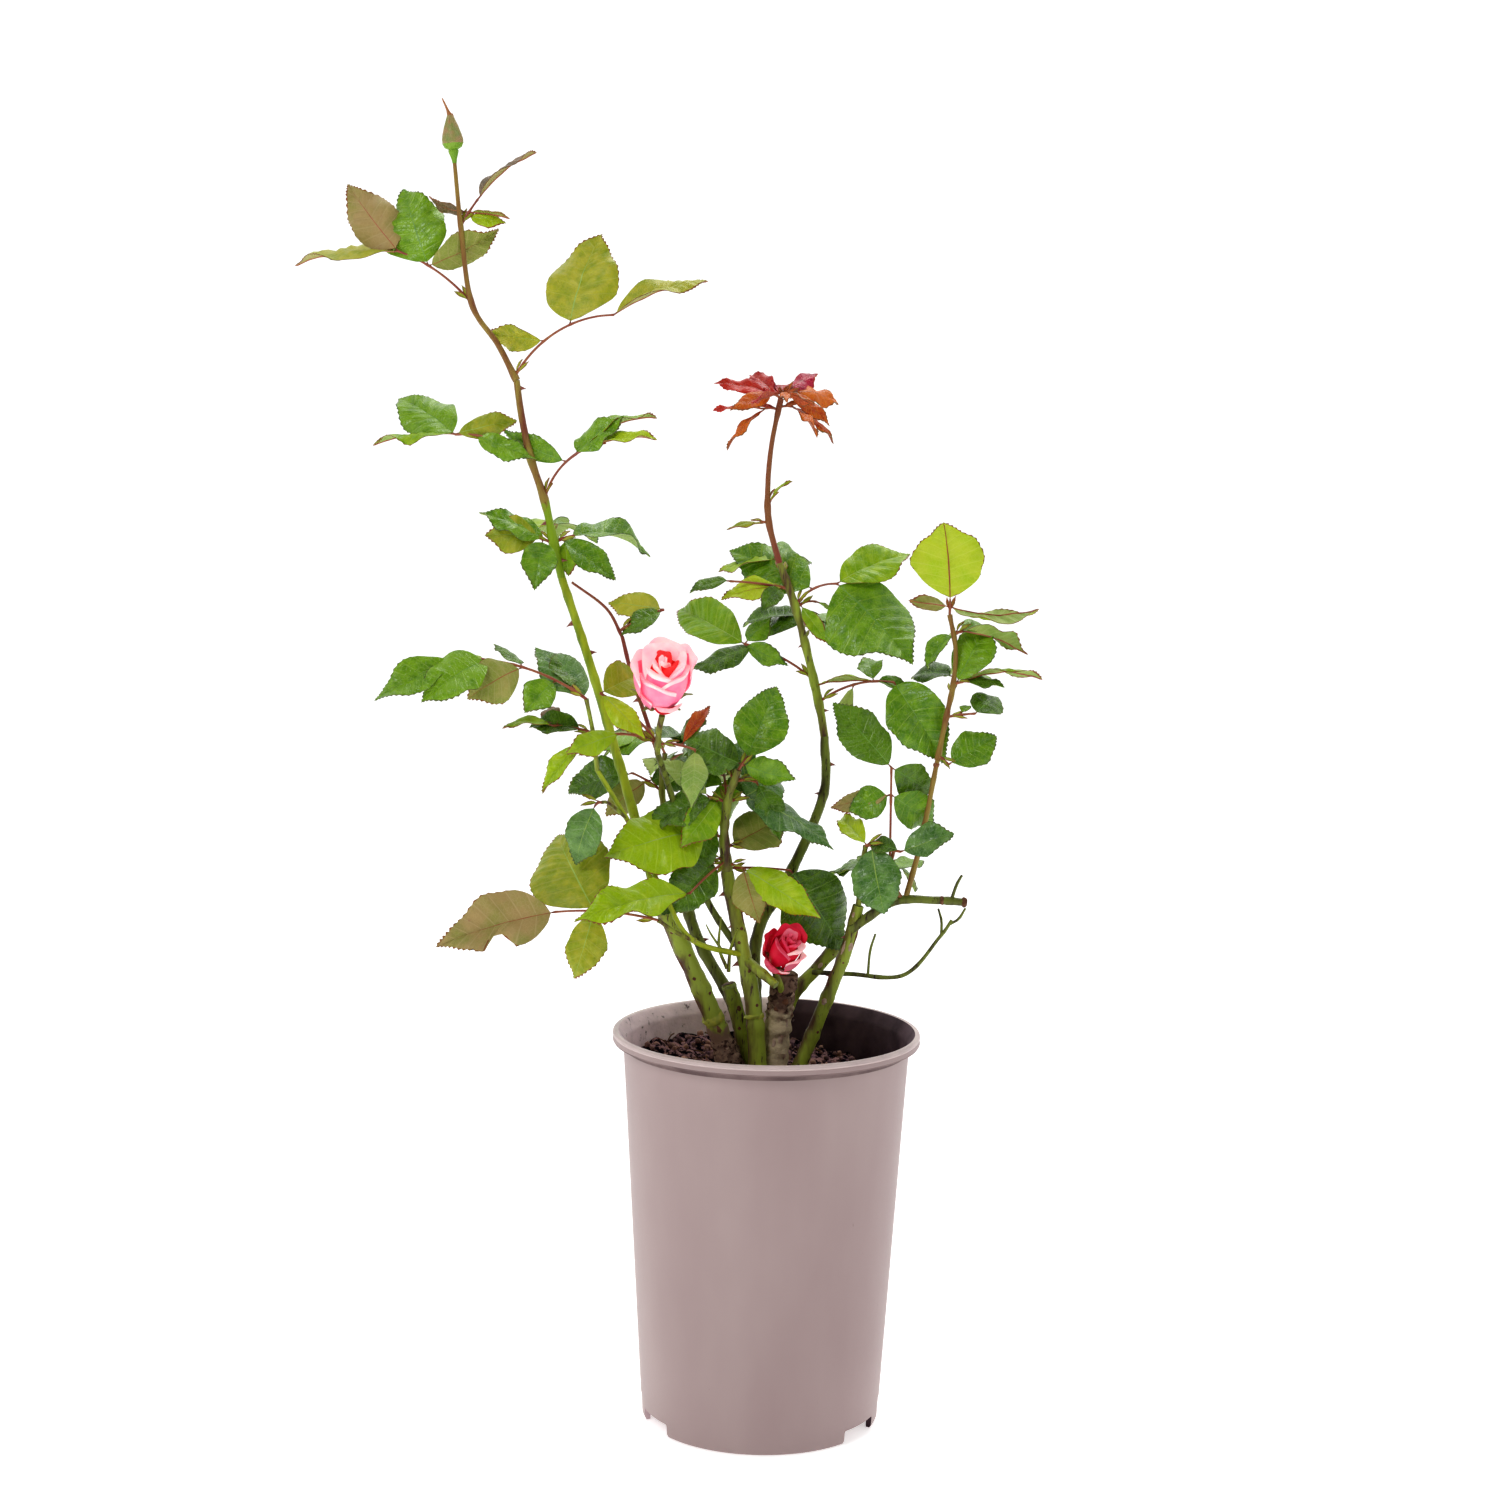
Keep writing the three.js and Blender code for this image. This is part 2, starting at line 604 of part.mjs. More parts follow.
// A blade with a rib along its lower side, bending down towards its tip.
function blade({ foot, along, upper, twist, length, width, curl, thickness = LEAF_THICKNESS }) {
  const across = upper.clone().cross(along).normalize().applyAxisAngle(along, twist);
  const bands = LEAF_STATIONS.length - 1;
  const skin = new THREE.CylinderGeometry(0, 1, 1, 3, bands);
  const spots = skin.getAttribute("position");
  for (let i = 0; i < spots.count; i++) {
    const u = LEAF_STATIONS[Math.round((spots.getY(i) + 0.5) * bands)];
    const bend = curl * u;
    const swell = Math.sin(Math.PI * u ** 0.85) ** 0.8 * (1 - 0.1 * u);
    const half = u === 0 ? LEAF_ROOT : 0.5 * width * length * swell;
    const depth = u === 0 ? LEAF_ROOT : u === 1 ? 0 : thickness;
    const reach = u === 0 ? 0 : PETIOLULE + length * u;
    const spot = foot.clone().addScaledVector(along.clone().applyAxisAngle(across, bend / 2), reach);
    const face = along.clone().applyAxisAngle(across, bend).cross(across);
    const edge = Math.abs(spots.getX(i)) > 1e-6 ? Math.sign(spots.getX(i)) : 0;
    const below = spots.getZ(i) > 1e-6 ? depth : 0;
    spot.addScaledVector(across, edge * half).addScaledVector(face, -below);
    spots.setXYZ(i, spot.x, spot.y, spot.z);
  }
  return solid(skin);
}

// One leaf: its stalk, and the leaflets that stay clear of everything around the mass.
function leafPieces(stem, row, seed, around) {
  const [at, azimuth, rise, roll, reach, droop, size, fan] = row;
  const foot = stem.getPoint(at / (stem.points.length - 1));
  const frames = stalkFrames(foot, azimuth, rise, roll, reach, droop);
  const stalkLine = new THREE.CatmullRomCurve3(frames.map((frame) => frame.place));
  const stalk = bar(stalkLine, (t) => STALK_RADIUS * (1 - 0.1 * t), 3, Math.ceil(reach / 22), LEAF_ROOT);
  if (touches(stalk, around)) return [];
  const dice = new Dice(seed);
  const pieces = [stalk];
  const rows = Array.isArray(fan) ? fan : evenFan(fan);
  for (const [along, turn, lift, share, lean = 0, width = LEAF_WIDTH] of rows) {
    const { place, tangent, side, upper } = frames[Math.round(along * STALK_STEPS)];
    const turned = tangent.clone().applyAxisAngle(upper, radians(turn + dice.swing(6)));
    const out = turned.applyAxisAngle(upper.clone().cross(turned), -radians(lift + dice.swing(8)));
    const leaflet = blade({
      foot: place,
      along: out,
      upper,
      twist: radians(lean + dice.swing(12)),
      length: size * share * (1 + dice.swing(0.05)),
      width: width + dice.swing(0.05),
      curl: radians(LEAF_CURL + dice.swing(16)),
    });
    if (!touches(leaflet, around)) pieces.push(leaflet);
  }
  return pieces;
}

// A bloom: a turned core, rippled by its folded petals, with open petals cupped round it.
function bloomPieces(foot, { axis, radius, height, petals, opening }) {
  const along = vector(axis).normalize();
  const core = turned(CORE_PROFILE.map(([r, h]) => [r * radius, h * height]), CORE_SIDES);
  const spots = core.getAttribute("position");
  for (let i = 0; i < spots.count; i++) {
    const around = Math.atan2(spots.getY(i), spots.getX(i));
    const ripple = 1 + PETAL_RIPPLE * Math.cos(5 * around + (6 * spots.getZ(i)) / height);
    spots.setXY(i, spots.getX(i) * ripple, spots.getY(i) * ripple);
  }
  const upright = new THREE.Quaternion().setFromUnitVectors(new THREE.Vector3(0, 0, 1), along);
  core.applyQuaternion(upright).translate(foot.x, foot.y, foot.z);
  const pieces = [solid(core)];
  for (let k = 0; k < petals; k++) {
    const around = radians(PETAL_TURN * k);
    const outward = new THREE.Vector3(Math.cos(around), Math.sin(around), 0);
    outward.applyQuaternion(upright);
    const tangent = outward.clone().cross(along);
    pieces.push(blade({
      foot: foot.clone(),
      along: along.clone().applyAxisAngle(tangent, -radians(opening * 1.4)),
      upper: outward.clone().negate(),
      twist: 0,
      length: height * (0.84 + (0.08 * k) / petals),
      width: (1.3 * radius) / height,
      curl: -radians(opening * 1.6),
      thickness: PETAL_THICKNESS,
    }));
  }
  return pieces;
}

// A closed bud on its hip, with the long tips of its sepals above it.
function budSolid(foot, along, { neck, hip, radius, height }) {
  const profile = [
    [0, -0.03],
    [neck, 0],
    [hip, 0.12],
    [hip - 0.5, 0.22],
    [radius * 0.96, 0.34],
    [radius, 0.44],
    [radius * 0.5, 0.66],
    [1, 0.8],
    [0, 1],
  ];
  const skin = turned(profile.map(([r, h]) => [r, h * height]), BUD_SIDES);
  const upright = new THREE.Quaternion().setFromUnitVectors(new THREE.Vector3(0, 0, 1), along);
  return solid(skin.applyQuaternion(upright).translate(foot.x, foot.y, foot.z));
}

// A mass's stem with the bloom or bud at its end.
function stemSolid({ radii, bloom, bud }, stem) {
  const [foot, tip] = radii;
  const pieces = [bar(stem, (t) => foot + (tip - foot) * t, STEM_SIDES, stem.points.length)];
  const end = stem.getPoint(1);
  if (bloom) pieces.push(...bloomPieces(end, bloom));
  if (bud) pieces.push(budSolid(end, stem.getTangent(1), bud));
  return wasm.Manifold.union(pieces);
}

// The plant

const group = new THREE.Group();
const routes = new Map();
const bodies = new Map();
const cutters = [];

bodies.set("pot", potSolid());
group.add(meshOf("pot", bodies.get("pot"), material(POT_COLOUR, 0.5)));

for (const limb of LIMBS) {
  const body = largest(clearedOf(limbSolid(limb), cutters));
  bodies.set(limb.name, body);
  cutters.push(limbSolid(limb, CLEAR));
  routes.set(limb.name, limb.route);
  group.add(meshOf(limb.name, body, material(limb.colour, 0.6)));
}
group.add(meshOf("soil", clearedOf(soilSolid(), cutters), material(SOIL_COLOUR, 0.95)));

for (const mass of MASSES) {
  const start = curveThrough(routes.get(mass.from)).getPoint(mass.side ?? 1).toArray();
  const route = [start, ...mass.route];
  routes.set(mass.name, route);
  bodies.set(mass.name, largest(clearedOf(stemSolid(mass, curveThrough(route)), cutters)));
  cutters.push(limbSolid({ ...mass, route }, CLEAR));
}

for (const mass of MASSES) {
  const stem = curveThrough(routes.get(mass.name));
  const others = [...bodies].filter(([name]) => name !== mass.name).map(([, body]) => body);
  const leaves = mass.leaves.flatMap((row, k) => leafPieces(stem, row, mass.seed + k, others));
  const body = largest(wasm.Manifold.union([bodies.get(mass.name), ...leaves]));
  bodies.set(mass.name, body);
  group.add(meshOf(mass.name, body, material(mass.colour, 0.55)));
}

export default group;
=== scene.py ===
"""A rose bush in a nursery pot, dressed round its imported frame.

Canes with bark, bud scars and prickles; toothed and veined leaves; an open pink bloom, a half-open
red one and a closed bud; loose soil in a moulded pot. The rows below hold millimetres, as the part's
source does, and every mesh is written in metres, +Z up, with the front along -Y.
"""

import logging
import math
from dataclasses import dataclass, replace
from enum import Enum

import bpy
import numpy as np
from mathutils import Matrix, Vector, noise


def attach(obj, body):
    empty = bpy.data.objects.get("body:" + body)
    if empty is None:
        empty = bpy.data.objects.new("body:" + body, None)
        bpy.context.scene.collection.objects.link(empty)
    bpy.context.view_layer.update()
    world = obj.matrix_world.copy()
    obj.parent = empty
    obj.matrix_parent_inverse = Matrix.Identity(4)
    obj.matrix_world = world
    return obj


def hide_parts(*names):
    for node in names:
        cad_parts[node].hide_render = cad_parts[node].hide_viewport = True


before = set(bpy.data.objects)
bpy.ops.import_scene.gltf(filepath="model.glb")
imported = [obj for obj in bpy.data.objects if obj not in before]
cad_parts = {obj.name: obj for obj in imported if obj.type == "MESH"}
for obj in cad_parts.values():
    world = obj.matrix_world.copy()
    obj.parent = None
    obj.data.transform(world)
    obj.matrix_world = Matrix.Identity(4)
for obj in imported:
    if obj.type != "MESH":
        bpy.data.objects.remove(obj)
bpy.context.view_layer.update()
LOG = logging.getLogger("rose_bush")

MM = 0.001
Z_AXIS = Vector((0, 0, 1))

# The pot and the soil, in millimetres
POT_HEIGHT = 245.0
RIM_RADIUS = 95.0
WALL_TOP_RADIUS = 88.3
WALL_FOOT_RADIUS = 74.0
WALL = 1.6
LIP_HEIGHT = 7.0
FOOT_HEIGHT = 2.0
FOOT_RING_INNER = 70.0
FOOT_RING_OUTER = 72.6
HUB_RADIUS = 45.0
CHANNEL_HEIGHT = 9.0
FLOOR = 3.0
NOTCH_COUNT = 3
NOTCH_WIDTH = 32.0
NOTCH_HEIGHT = 8.0
NOTCH_AZIMUTH = -153.0
SOIL_LEVEL = 216.0
SOIL_TILT = 0.11
SOIL_BUMP = 2.2
CROWN_LEVEL = 205.0

# The leaves, the dice and the light on the bark
PETIOLULE = 2.5
LEAF_WIDTH = 0.64
LEAF_CURL = 24.0
STALK_STEPS = 8
DICE_RANGE = 2**32
DICE_SEED_FACTOR = 2654435761
DICE_FACTOR = 1664525
DICE_STEP = 1013904223
LIGHT_SIDE = (0.9, -0.3, 0.3)
BARK_SHIFT = 0.05

# The patterns of the finishes
PATCH_EDGES = (0.34, 0.66)
SPECK_CEILING = 0.78
SPECK_SHARPNESS = 14
LEVEL_NOISE = 160
LEVEL_WANDER = 0.03
LEVEL_SHARPNESS = 160
LEVEL_CENTRE = 2.9
VEIN_PAIRS = 8.5
VEIN_WIDTH = 0.075
NET_SCALE = 420
NET_WIDTH = 0.1
NET_SHARE = 0.45
VEIN_SHARE = 0.6
GLOSS_SWING = 0.08
GLOW_DEPTH = 0.004


@dataclass(frozen=True)
class Finish:
    """A surface's colours, gloss and fine relief.

    Attributes:
        name: the material's name.
        tone: the main colour, as hex digits.
        drift: the colour that it drifts into in patches.
        patch: the size of a patch, in metres.
        roughness: the middle roughness.
        grain: the size of the fine relief, in metres.
        relief: the strength of the fine relief.
        stretch: how far patches and grain run on along Z.
        speck: the colour of specks, or nothing for none.
        speck_share: how much of the surface the specks take.
        speck_size: the size of a speck, in metres.
        low: a colour that takes over lower down, or nothing.
        low_level: the height where it has taken over by half, in metres.
        subsurface_and_painted_glow: how much light passes under the skin, and how strongly the surface gives
            off painted light in its own colour.
        veins: the colour of the side veins, or nothing for none.
        shine: how much of the light the surface mirrors, 0.5 for plain plastic.
        sided: how far a cane's shaded side keeps to the main colour.
        low_sideways: whether the low colour takes over towards -X in place of downward.
    """

    name: str
    tone: str
    drift: str
    patch: float = 0.012
    roughness: float = 0.42
    grain: float = 0.0011
    relief: float = 0.12
    stretch: float = 1.0
    speck: str = ""
    speck_share: float = 0.3
    speck_size: float = 0.003
    low: str = ""
    low_level: float = 0.224
    subsurface_and_painted_glow: float = 0.0
    veins: str = ""
    shine: float = 0.5
    sided: float = 0.0
    low_sideways: bool = False


# The finishes of the leaves, canes, petals, pot and soil
DEEP_GREEN = Finish(
    "leaf_deep", "3a5c0c", "5e8418", patch=0.006, roughness=0.28, relief=0.4, veins="7ea032", shine=0.45,
    speck="9cae80", speck_share=0.07, speck_size=0.0016,
)
MID_GREEN = Finish(
    "leaf_mid", "54820e", "7ca61c", patch=0.006, roughness=0.29, relief=0.4, veins="98b83c", shine=0.42,
    speck="b4c48c", speck_share=0.05, speck_size=0.0016,
)
FRESH_GREEN = Finish(
    "leaf_fresh", "769e0c", "a0bc22", patch=0.006, roughness=0.33, relief=0.3, veins="a4c048", shine=0.28,
    speck="c8a860", speck_share=0.04,
)
LIME_GREEN = Finish(
    "leaf_lime", "98b80c", "b0c624", patch=0.006, roughness=0.3, relief=0.3, veins="b8d440", shine=0.3,
    speck="98803c", speck_share=0.05, speck_size=0.0022,
)
SILVER_GREEN = Finish(
    "leaf_silver", "3e6a22", "6c9444", patch=0.006, roughness=0.28, relief=0.4, veins="84a468",
    speck="9cb088", speck_share=0.1, speck_size=0.0014,
)
OLIVE_GREEN = Finish(
    "leaf_olive", "8a9a1c", "b2b034", patch=0.006, roughness=0.4, relief=0.3, veins="b0b450", shine=0.28,
    speck="8c5a34", speck_share=0.08,
)
BRONZE = Finish("leaf_bronze", "86684e", "68583c", roughness=0.42, relief=0.3, veins="a88c6c", shine=0.4)
WINE = Finish(
    "leaf_wine", "a80e1e", "c83020", patch=0.006, roughness=0.34, relief=0.3, veins="d4502c", shine=0.3,
)
MAGENTA = replace(WINE, name="leaf_magenta", tone="b80e3c", drift="8c1434", veins="d84858")
COPPER = replace(WINE, name="leaf_copper", tone="d26a18", drift="b4481c", roughness=0.38, veins="e09430")
UNDER_PALE = Finish("under_pale", "86a44c", "a2b45e", roughness=0.55, relief=0.3, veins="bcc888", shine=0.3)
UNDER_OLIVE = Finish(
    "under_olive", "8a9440", "a49c58", patch=0.01, roughness=0.55, relief=0.3, veins="b8b474", shine=0.3,
    speck="9a6a48", speck_share=0.08, speck_size=0.004,
)
UNDER_LIME = Finish("under_lime", "a8c414", "bccc30", roughness=0.5, relief=0.3, veins="ccd85c", shine=0.3)
UNDER_DUSK = Finish(
    "under_dusk", "ac9460", "929048", patch=0.014, roughness=0.55, relief=0.3, veins="c0ac7c", shine=0.3,
    speck="a87a58", speck_share=0.12, speck_size=0.006,
)
UNDER_RED = Finish("under_red", "a43c2c", "c05c2c", roughness=0.5, relief=0.3, veins="d88848", shine=0.3)
PALE_RIB = Finish("rib_pale", "8fae4a", "a8c064", roughness=0.45, shine=0.3)
GREEN_RIB = Finish("rib_green", "5f8c38", "7ba24c", roughness=0.45, shine=0.3)
RED_RIB = Finish("rib_red", "93402c", "a9603a", roughness=0.45)
RED_EDGE = Finish("edge_red", "86601c", "8c4826", roughness=0.5)
GREEN_EDGE = Finish("edge_green", "3c5a1c", "6a6c28", roughness=0.5)
RED_STALK = Finish("stalk_red", "8a3f30", "a0603c", roughness=0.45)
LIME_CANE = Finish(
    "cane_lime", "6c8418", "aab82c", patch=0.006, stretch=0.2, speck="8a6a34", speck_share=0.15,
    speck_size=0.002, shine=0.3, sided=0.2,
)
OLIVE_CANE = Finish(
    "cane_olive", "7c4430", "9c8c40", patch=0.006, stretch=0.2, speck="6a3028", speck_share=0.18,
    speck_size=0.002, low="86a422", low_level=0.566, shine=0.3, sided=0.18,
)
TWIG_CANE = Finish(
    "cane_twig", "7a4030", "98803e", patch=0.006, stretch=0.2, relief=0.2, shine=0.3, sided=0.16,
)
OLD_CANE = Finish(
    "cane_old", "5c4230", "98a83e", patch=0.006, stretch=0.2, relief=0.5, speck="4c3430",
    speck_share=0.19, speck_size=0.0026, shine=0.25, sided=0.2,
)
FOOT_CANE = replace(OLD_CANE, name="cane_foot", low="8c7460", low_level=0.25)
DARK_CANE = Finish(
    "cane_dark", "3c3222", "747e36", patch=0.005, stretch=0.2, relief=0.4, speck="34241c",
    speck_share=0.22, speck_size=0.0024, shine=0.25, sided=0.18,
)
RED_CANE = Finish("cane_red", "84382f", "8a5a34", patch=0.014, stretch=0.3, shine=0.35)
WOOD = Finish(
    "graft_wood", "8c7462", "644c40", patch=0.006, roughness=0.85, grain=0.0022, relief=0.9,
    speck="3a2822", speck_share=0.26, speck_size=0.004, low="c4b494", low_level=0.258, shine=0.1,
)
FOOT_BARK = Finish(
    "foot_bark", "9a826e", "6c564a", patch=0.004, roughness=0.85, grain=0.002, relief=0.9,
    speck="46322a", speck_share=0.26, speck_size=0.003, shine=0.1,
)
FLAKE = Finish("bark_flake", "c4ae9c", "a08470", patch=0.003, roughness=0.8, shine=0.1)
COLLAR = Finish("collar", "b0b040", "8f9a3c", patch=0.003, roughness=0.6, relief=0.4)
SCAR = Finish("bark_scar", "5c3a2a", "7c5840", patch=0.003, roughness=0.7, relief=0.5, shine=0.2)
CUT_PALE = Finish("cut_pale", "a8b070", "8c9a54", patch=0.003, roughness=0.7, relief=0.4)
CUT_BROWN = Finish("cut_brown", "4e3a28", "7c6248", patch=0.003, roughness=0.8, relief=0.6)
PRICKLE = Finish("prickle", "7c3a30", "a0685a", patch=0.003, roughness=0.4)
# The petals pass light under their skin and also give off painted light in their own colour.
PINK = Finish("petal_pink", "ee7098", "ff9cb4", roughness=0.6, relief=0.05, subsurface_and_painted_glow=0.17, shine=0.15)
BLUSH = Finish("petal_rim", "ffe0de", "ffbac6", roughness=0.6, relief=0.05, subsurface_and_painted_glow=0.17, shine=0.15)
CORAL = Finish("petal_coral", "f02c30", "ee4848", roughness=0.6, relief=0.05, subsurface_and_painted_glow=0.14, shine=0.15)
CRIMSON = Finish("petal_crimson", "c80c30", "e02444", roughness=0.5, relief=0.05, subsurface_and_painted_glow=0.05, shine=0.2)
ROSY = Finish("petal_rose", "e04868", "ec7c90", roughness=0.5, relief=0.05, subsurface_and_painted_glow=0.06, shine=0.25)
SEPAL = Finish("sepal", "8a7c4a", "6f8a3c", roughness=0.5)
BUD_SKIN = Finish("bud_skin", "aa8a60", "86904c", patch=0.005, roughness=0.5)
BUD_TIP = Finish("bud_tip", "c07a44", "a06a3c", roughness=0.5)
HIP = Finish("hip", "6a9c28", "8cae3c", roughness=0.4, shine=0.3)
PLASTIC = Finish(
    "moulded_plastic", "b09c9a", "a48e8d", patch=0.09, stretch=0.35, roughness=0.46, grain=0.0009,
    relief=0.05, speck="8c7876", speck_share=0.07, speck_size=0.004,
)
# The rim's top: the same plastic painted lighter as painted light where the light falls on it, with real
# scuffs as specks.
PAINTED_LIGHT_LIP = Finish(
    "moulded_plastic_lip_painted_light", "d2c0bd", "c2b0ae", patch=0.03, roughness=0.44, grain=0.0009, relief=0.1,
    speck="94807e", speck_share=0.12, speck_size=0.003,
)
# A band of painted shade on the wall under the rim, where the rim shades it.
LIP_SHADE = Finish("lip_painted_shade", "6a5656", "8a7674", patch=0.02, roughness=0.6, relief=0.1, shine=0.3)
# The inside wall's left side: the plastic painted much lighter as painted light, with painted shade darker
# lower down, and real scuffs as specks.
PAINTED_LIGHT_INSIDE = Finish(
    "moulded_plastic_inside_painted_light", "fae2e8", "dcc6cc", patch=0.012, roughness=0.6, grain=0.0016, relief=0.3,
    speck="806c70", speck_share=0.17, speck_size=0.006, low="ccb6ba", low_level=0.218,
)
# The inside wall's right side: a dark painted shade, turning lighter towards -X into the painted light.
PAINTED_SHADE_INSIDE = Finish(
    "inside_painted_shade", "3a2830", "5e4a52", patch=0.02, roughness=0.7, grain=0.001, relief=0.12,
    speck="80706c", speck_share=0.06, speck_size=0.006, shine=0.2, low="d8c2c8", low_level=0.013,
    low_sideways=True,
)
EARTH = Finish(
    "loose_earth", "745a64", "9a7670", patch=0.006, roughness=0.95, grain=0.0016, relief=0.9,
    speck="140d14", speck_share=0.33, speck_size=0.004, shine=0.0,
)
CRUMB = Finish("soil_crumb", "5c464e", "b08a7a", patch=0.012, roughness=0.95, relief=0.8, shine=0.0)
FIBRE = Finish("soil_fibre", "7a5a44", "5a4030", patch=0.01, roughness=0.9, shine=0.0)


@dataclass(frozen=True)
class LeafDress:
    """The finishes of one leaflet: upper side, under side, their ribs and the toothed edge."""

    upper: Finish
    under: Finish
    rib: Finish
    keel: Finish
    edge: Finish


class Tone(Enum):
    """The looks that are dealt out to the leaflets."""

    DEEP = LeafDress(DEEP_GREEN, UNDER_PALE, GREEN_RIB, PALE_RIB, GREEN_EDGE)
    MID = LeafDress(MID_GREEN, UNDER_PALE, GREEN_RIB, PALE_RIB, GREEN_EDGE)
    FRESH = LeafDress(FRESH_GREEN, UNDER_PALE, PALE_RIB, RED_RIB, RED_EDGE)
    LIME = LeafDress(LIME_GREEN, UNDER_OLIVE, PALE_RIB, RED_RIB, RED_EDGE)
    SILVER = LeafDress(SILVER_GREEN, UNDER_PALE, PALE_RIB, PALE_RIB, GREEN_EDGE)
    OLIVE = LeafDress(OLIVE_GREEN, UNDER_OLIVE, PALE_RIB, RED_RIB, RED_EDGE)
    BRONZE = LeafDress(BRONZE, UNDER_DUSK, RED_RIB, RED_RIB, RED_EDGE)
    WINE = LeafDress(WINE, UNDER_RED, RED_RIB, RED_RIB, WINE)
    MAGENTA = LeafDress(MAGENTA, UNDER_RED, RED_RIB, RED_RIB, UNDER_RED)
    COPPER = LeafDress(COPPER, UNDER_RED, RED_RIB, RED_RIB, RED_EDGE)
    GREY_BACK = LeafDress(UNDER_OLIVE, UNDER_OLIVE, RED_RIB, RED_RIB, RED_EDGE)
    PALE_BACK = LeafDress(UNDER_PALE, UNDER_PALE, PALE_RIB, RED_RIB, GREEN_EDGE)
    LIME_BACK = LeafDress(UNDER_LIME, UNDER_LIME, RED_RIB, RED_RIB, RED_EDGE)
    DUSK_BACK = LeafDress(UNDER_DUSK, UNDER_DUSK, RED_RIB, RED_RIB, RED_EDGE)


class Dice:
    """A die with a seed, which deals the same numbers as the one in the part's source."""

    def __init__(self, seed: int) -> None:
        """Sets the die to its seed."""
        self.state = (seed * DICE_SEED_FACTOR) % DICE_RANGE

    def roll(self) -> float:
        """Gives the next number from 0 to 1."""
        self.state = (self.state * DICE_FACTOR + DICE_STEP) % DICE_RANGE
        return self.state / DICE_RANGE

    def swing(self, amount: float) -> float:
        """Gives the next number from -amount to amount."""
        return (2 * self.roll() - 1) * amount

    def between(self, low: float, high: float) -> float:
        """Gives the next number from low to high."""
        return low + (high - low) * self.roll()


def rotated(vector: Vector, axis: Vector, degrees: float) -> Vector:
    """Turns a vector about an axis, right-handed."""
    return Matrix.Rotation(math.radians(degrees), 3, axis) @ vector


def unit(vector: Vector) -> Vector:
    """Gives a vector's direction."""
    return vector.normalized()


def compass(azimuth: float) -> Vector:
    """Gives the level direction of an azimuth in degrees."""
    around = math.radians(azimuth)
    return Vector((math.cos(around), math.sin(around), 0))


def square_to(way: Vector, along: Vector) -> Vector:
    """Gives the part of a way that is square to another one, as a direction."""
    return unit(way - along * way.dot(along))


class Route:
    """A smooth line through points, in millimetres."""

    def __init__(self, points: list) -> None:
        """Keeps the points as vectors."""
        self.points = [Vector(point) for point in points]

    def at(self, share: float) -> Vector:
        """Gives the point at a share of the way, counted in route points.

        Args:
            share: the share, from 0 at the first point to 1 at the last.

        Returns:
            The point on a smooth curve through the points.
        """
        last = len(self.points) - 1
        step = min(int(share * last), last - 1)
        t = share * last - step
        p1, p2 = self.points[step], self.points[step + 1]
        p0 = self.points[step - 1] if step > 0 else 2 * p1 - p2
        p3 = self.points[step + 2] if step + 2 <= last else 2 * p2 - p1
        m1, m2 = (p2 - p0) / 2, (p3 - p1) / 2
        a, b = 2 * (p1 - p2) + m1 + m2, 3 * (p2 - p1) - 2 * m1 - m2
        return ((a * t + b) * t + m1) * t + p1

    def heading(self, share: float) -> Vector:
        """Gives the line's direction at a share of the way."""
        reach = 1e-3
        return unit(self.at(min(1, share + reach)) - self.at(max(0, share - reach)))

    def samples(self, spacing: float) -> tuple[list[Vector], list[float]]:
        """Cuts the line into equal steps.

        Args:
            spacing: the length of a step, in millimetres.

        Returns:
            The points, and each one's share of the way.
        """
        fine = [self.at(k / 200) for k in range(201)]
        lengths = np.cumsum([0] + [(b - a).length for a, b in zip(fine, fine[1:])])
        steps = max(3, round(lengths[-1] / spacing))
        shares = np.interp(np.linspace(0, lengths[-1], steps + 1), lengths, np.linspace(0, 1, 201))
        return [self.at(float(share)) for share in shares], [float(share) for share in shares]


def frames_along(points: list[Vector]) -> list[tuple[Vector, Vector, Vector]]:
    """Carries a frame along a line without twist.

    Args:
        points: the line's points.

    Returns:
        For each point the direction and two sides square to it.
    """
    frames = []
    side = None
    for k, point in enumerate(points):
        ahead, behind = points[min(k + 1, len(points) - 1)], points[max(k - 1, 0)]
        tangent = unit(ahead - behind)
        if side is None:
            side = unit(tangent.cross(Vector((0.3, 1, 0.1))))
        side = square_to(side, tangent)
        frames.append((tangent, side, tangent.cross(side)))
    return frames


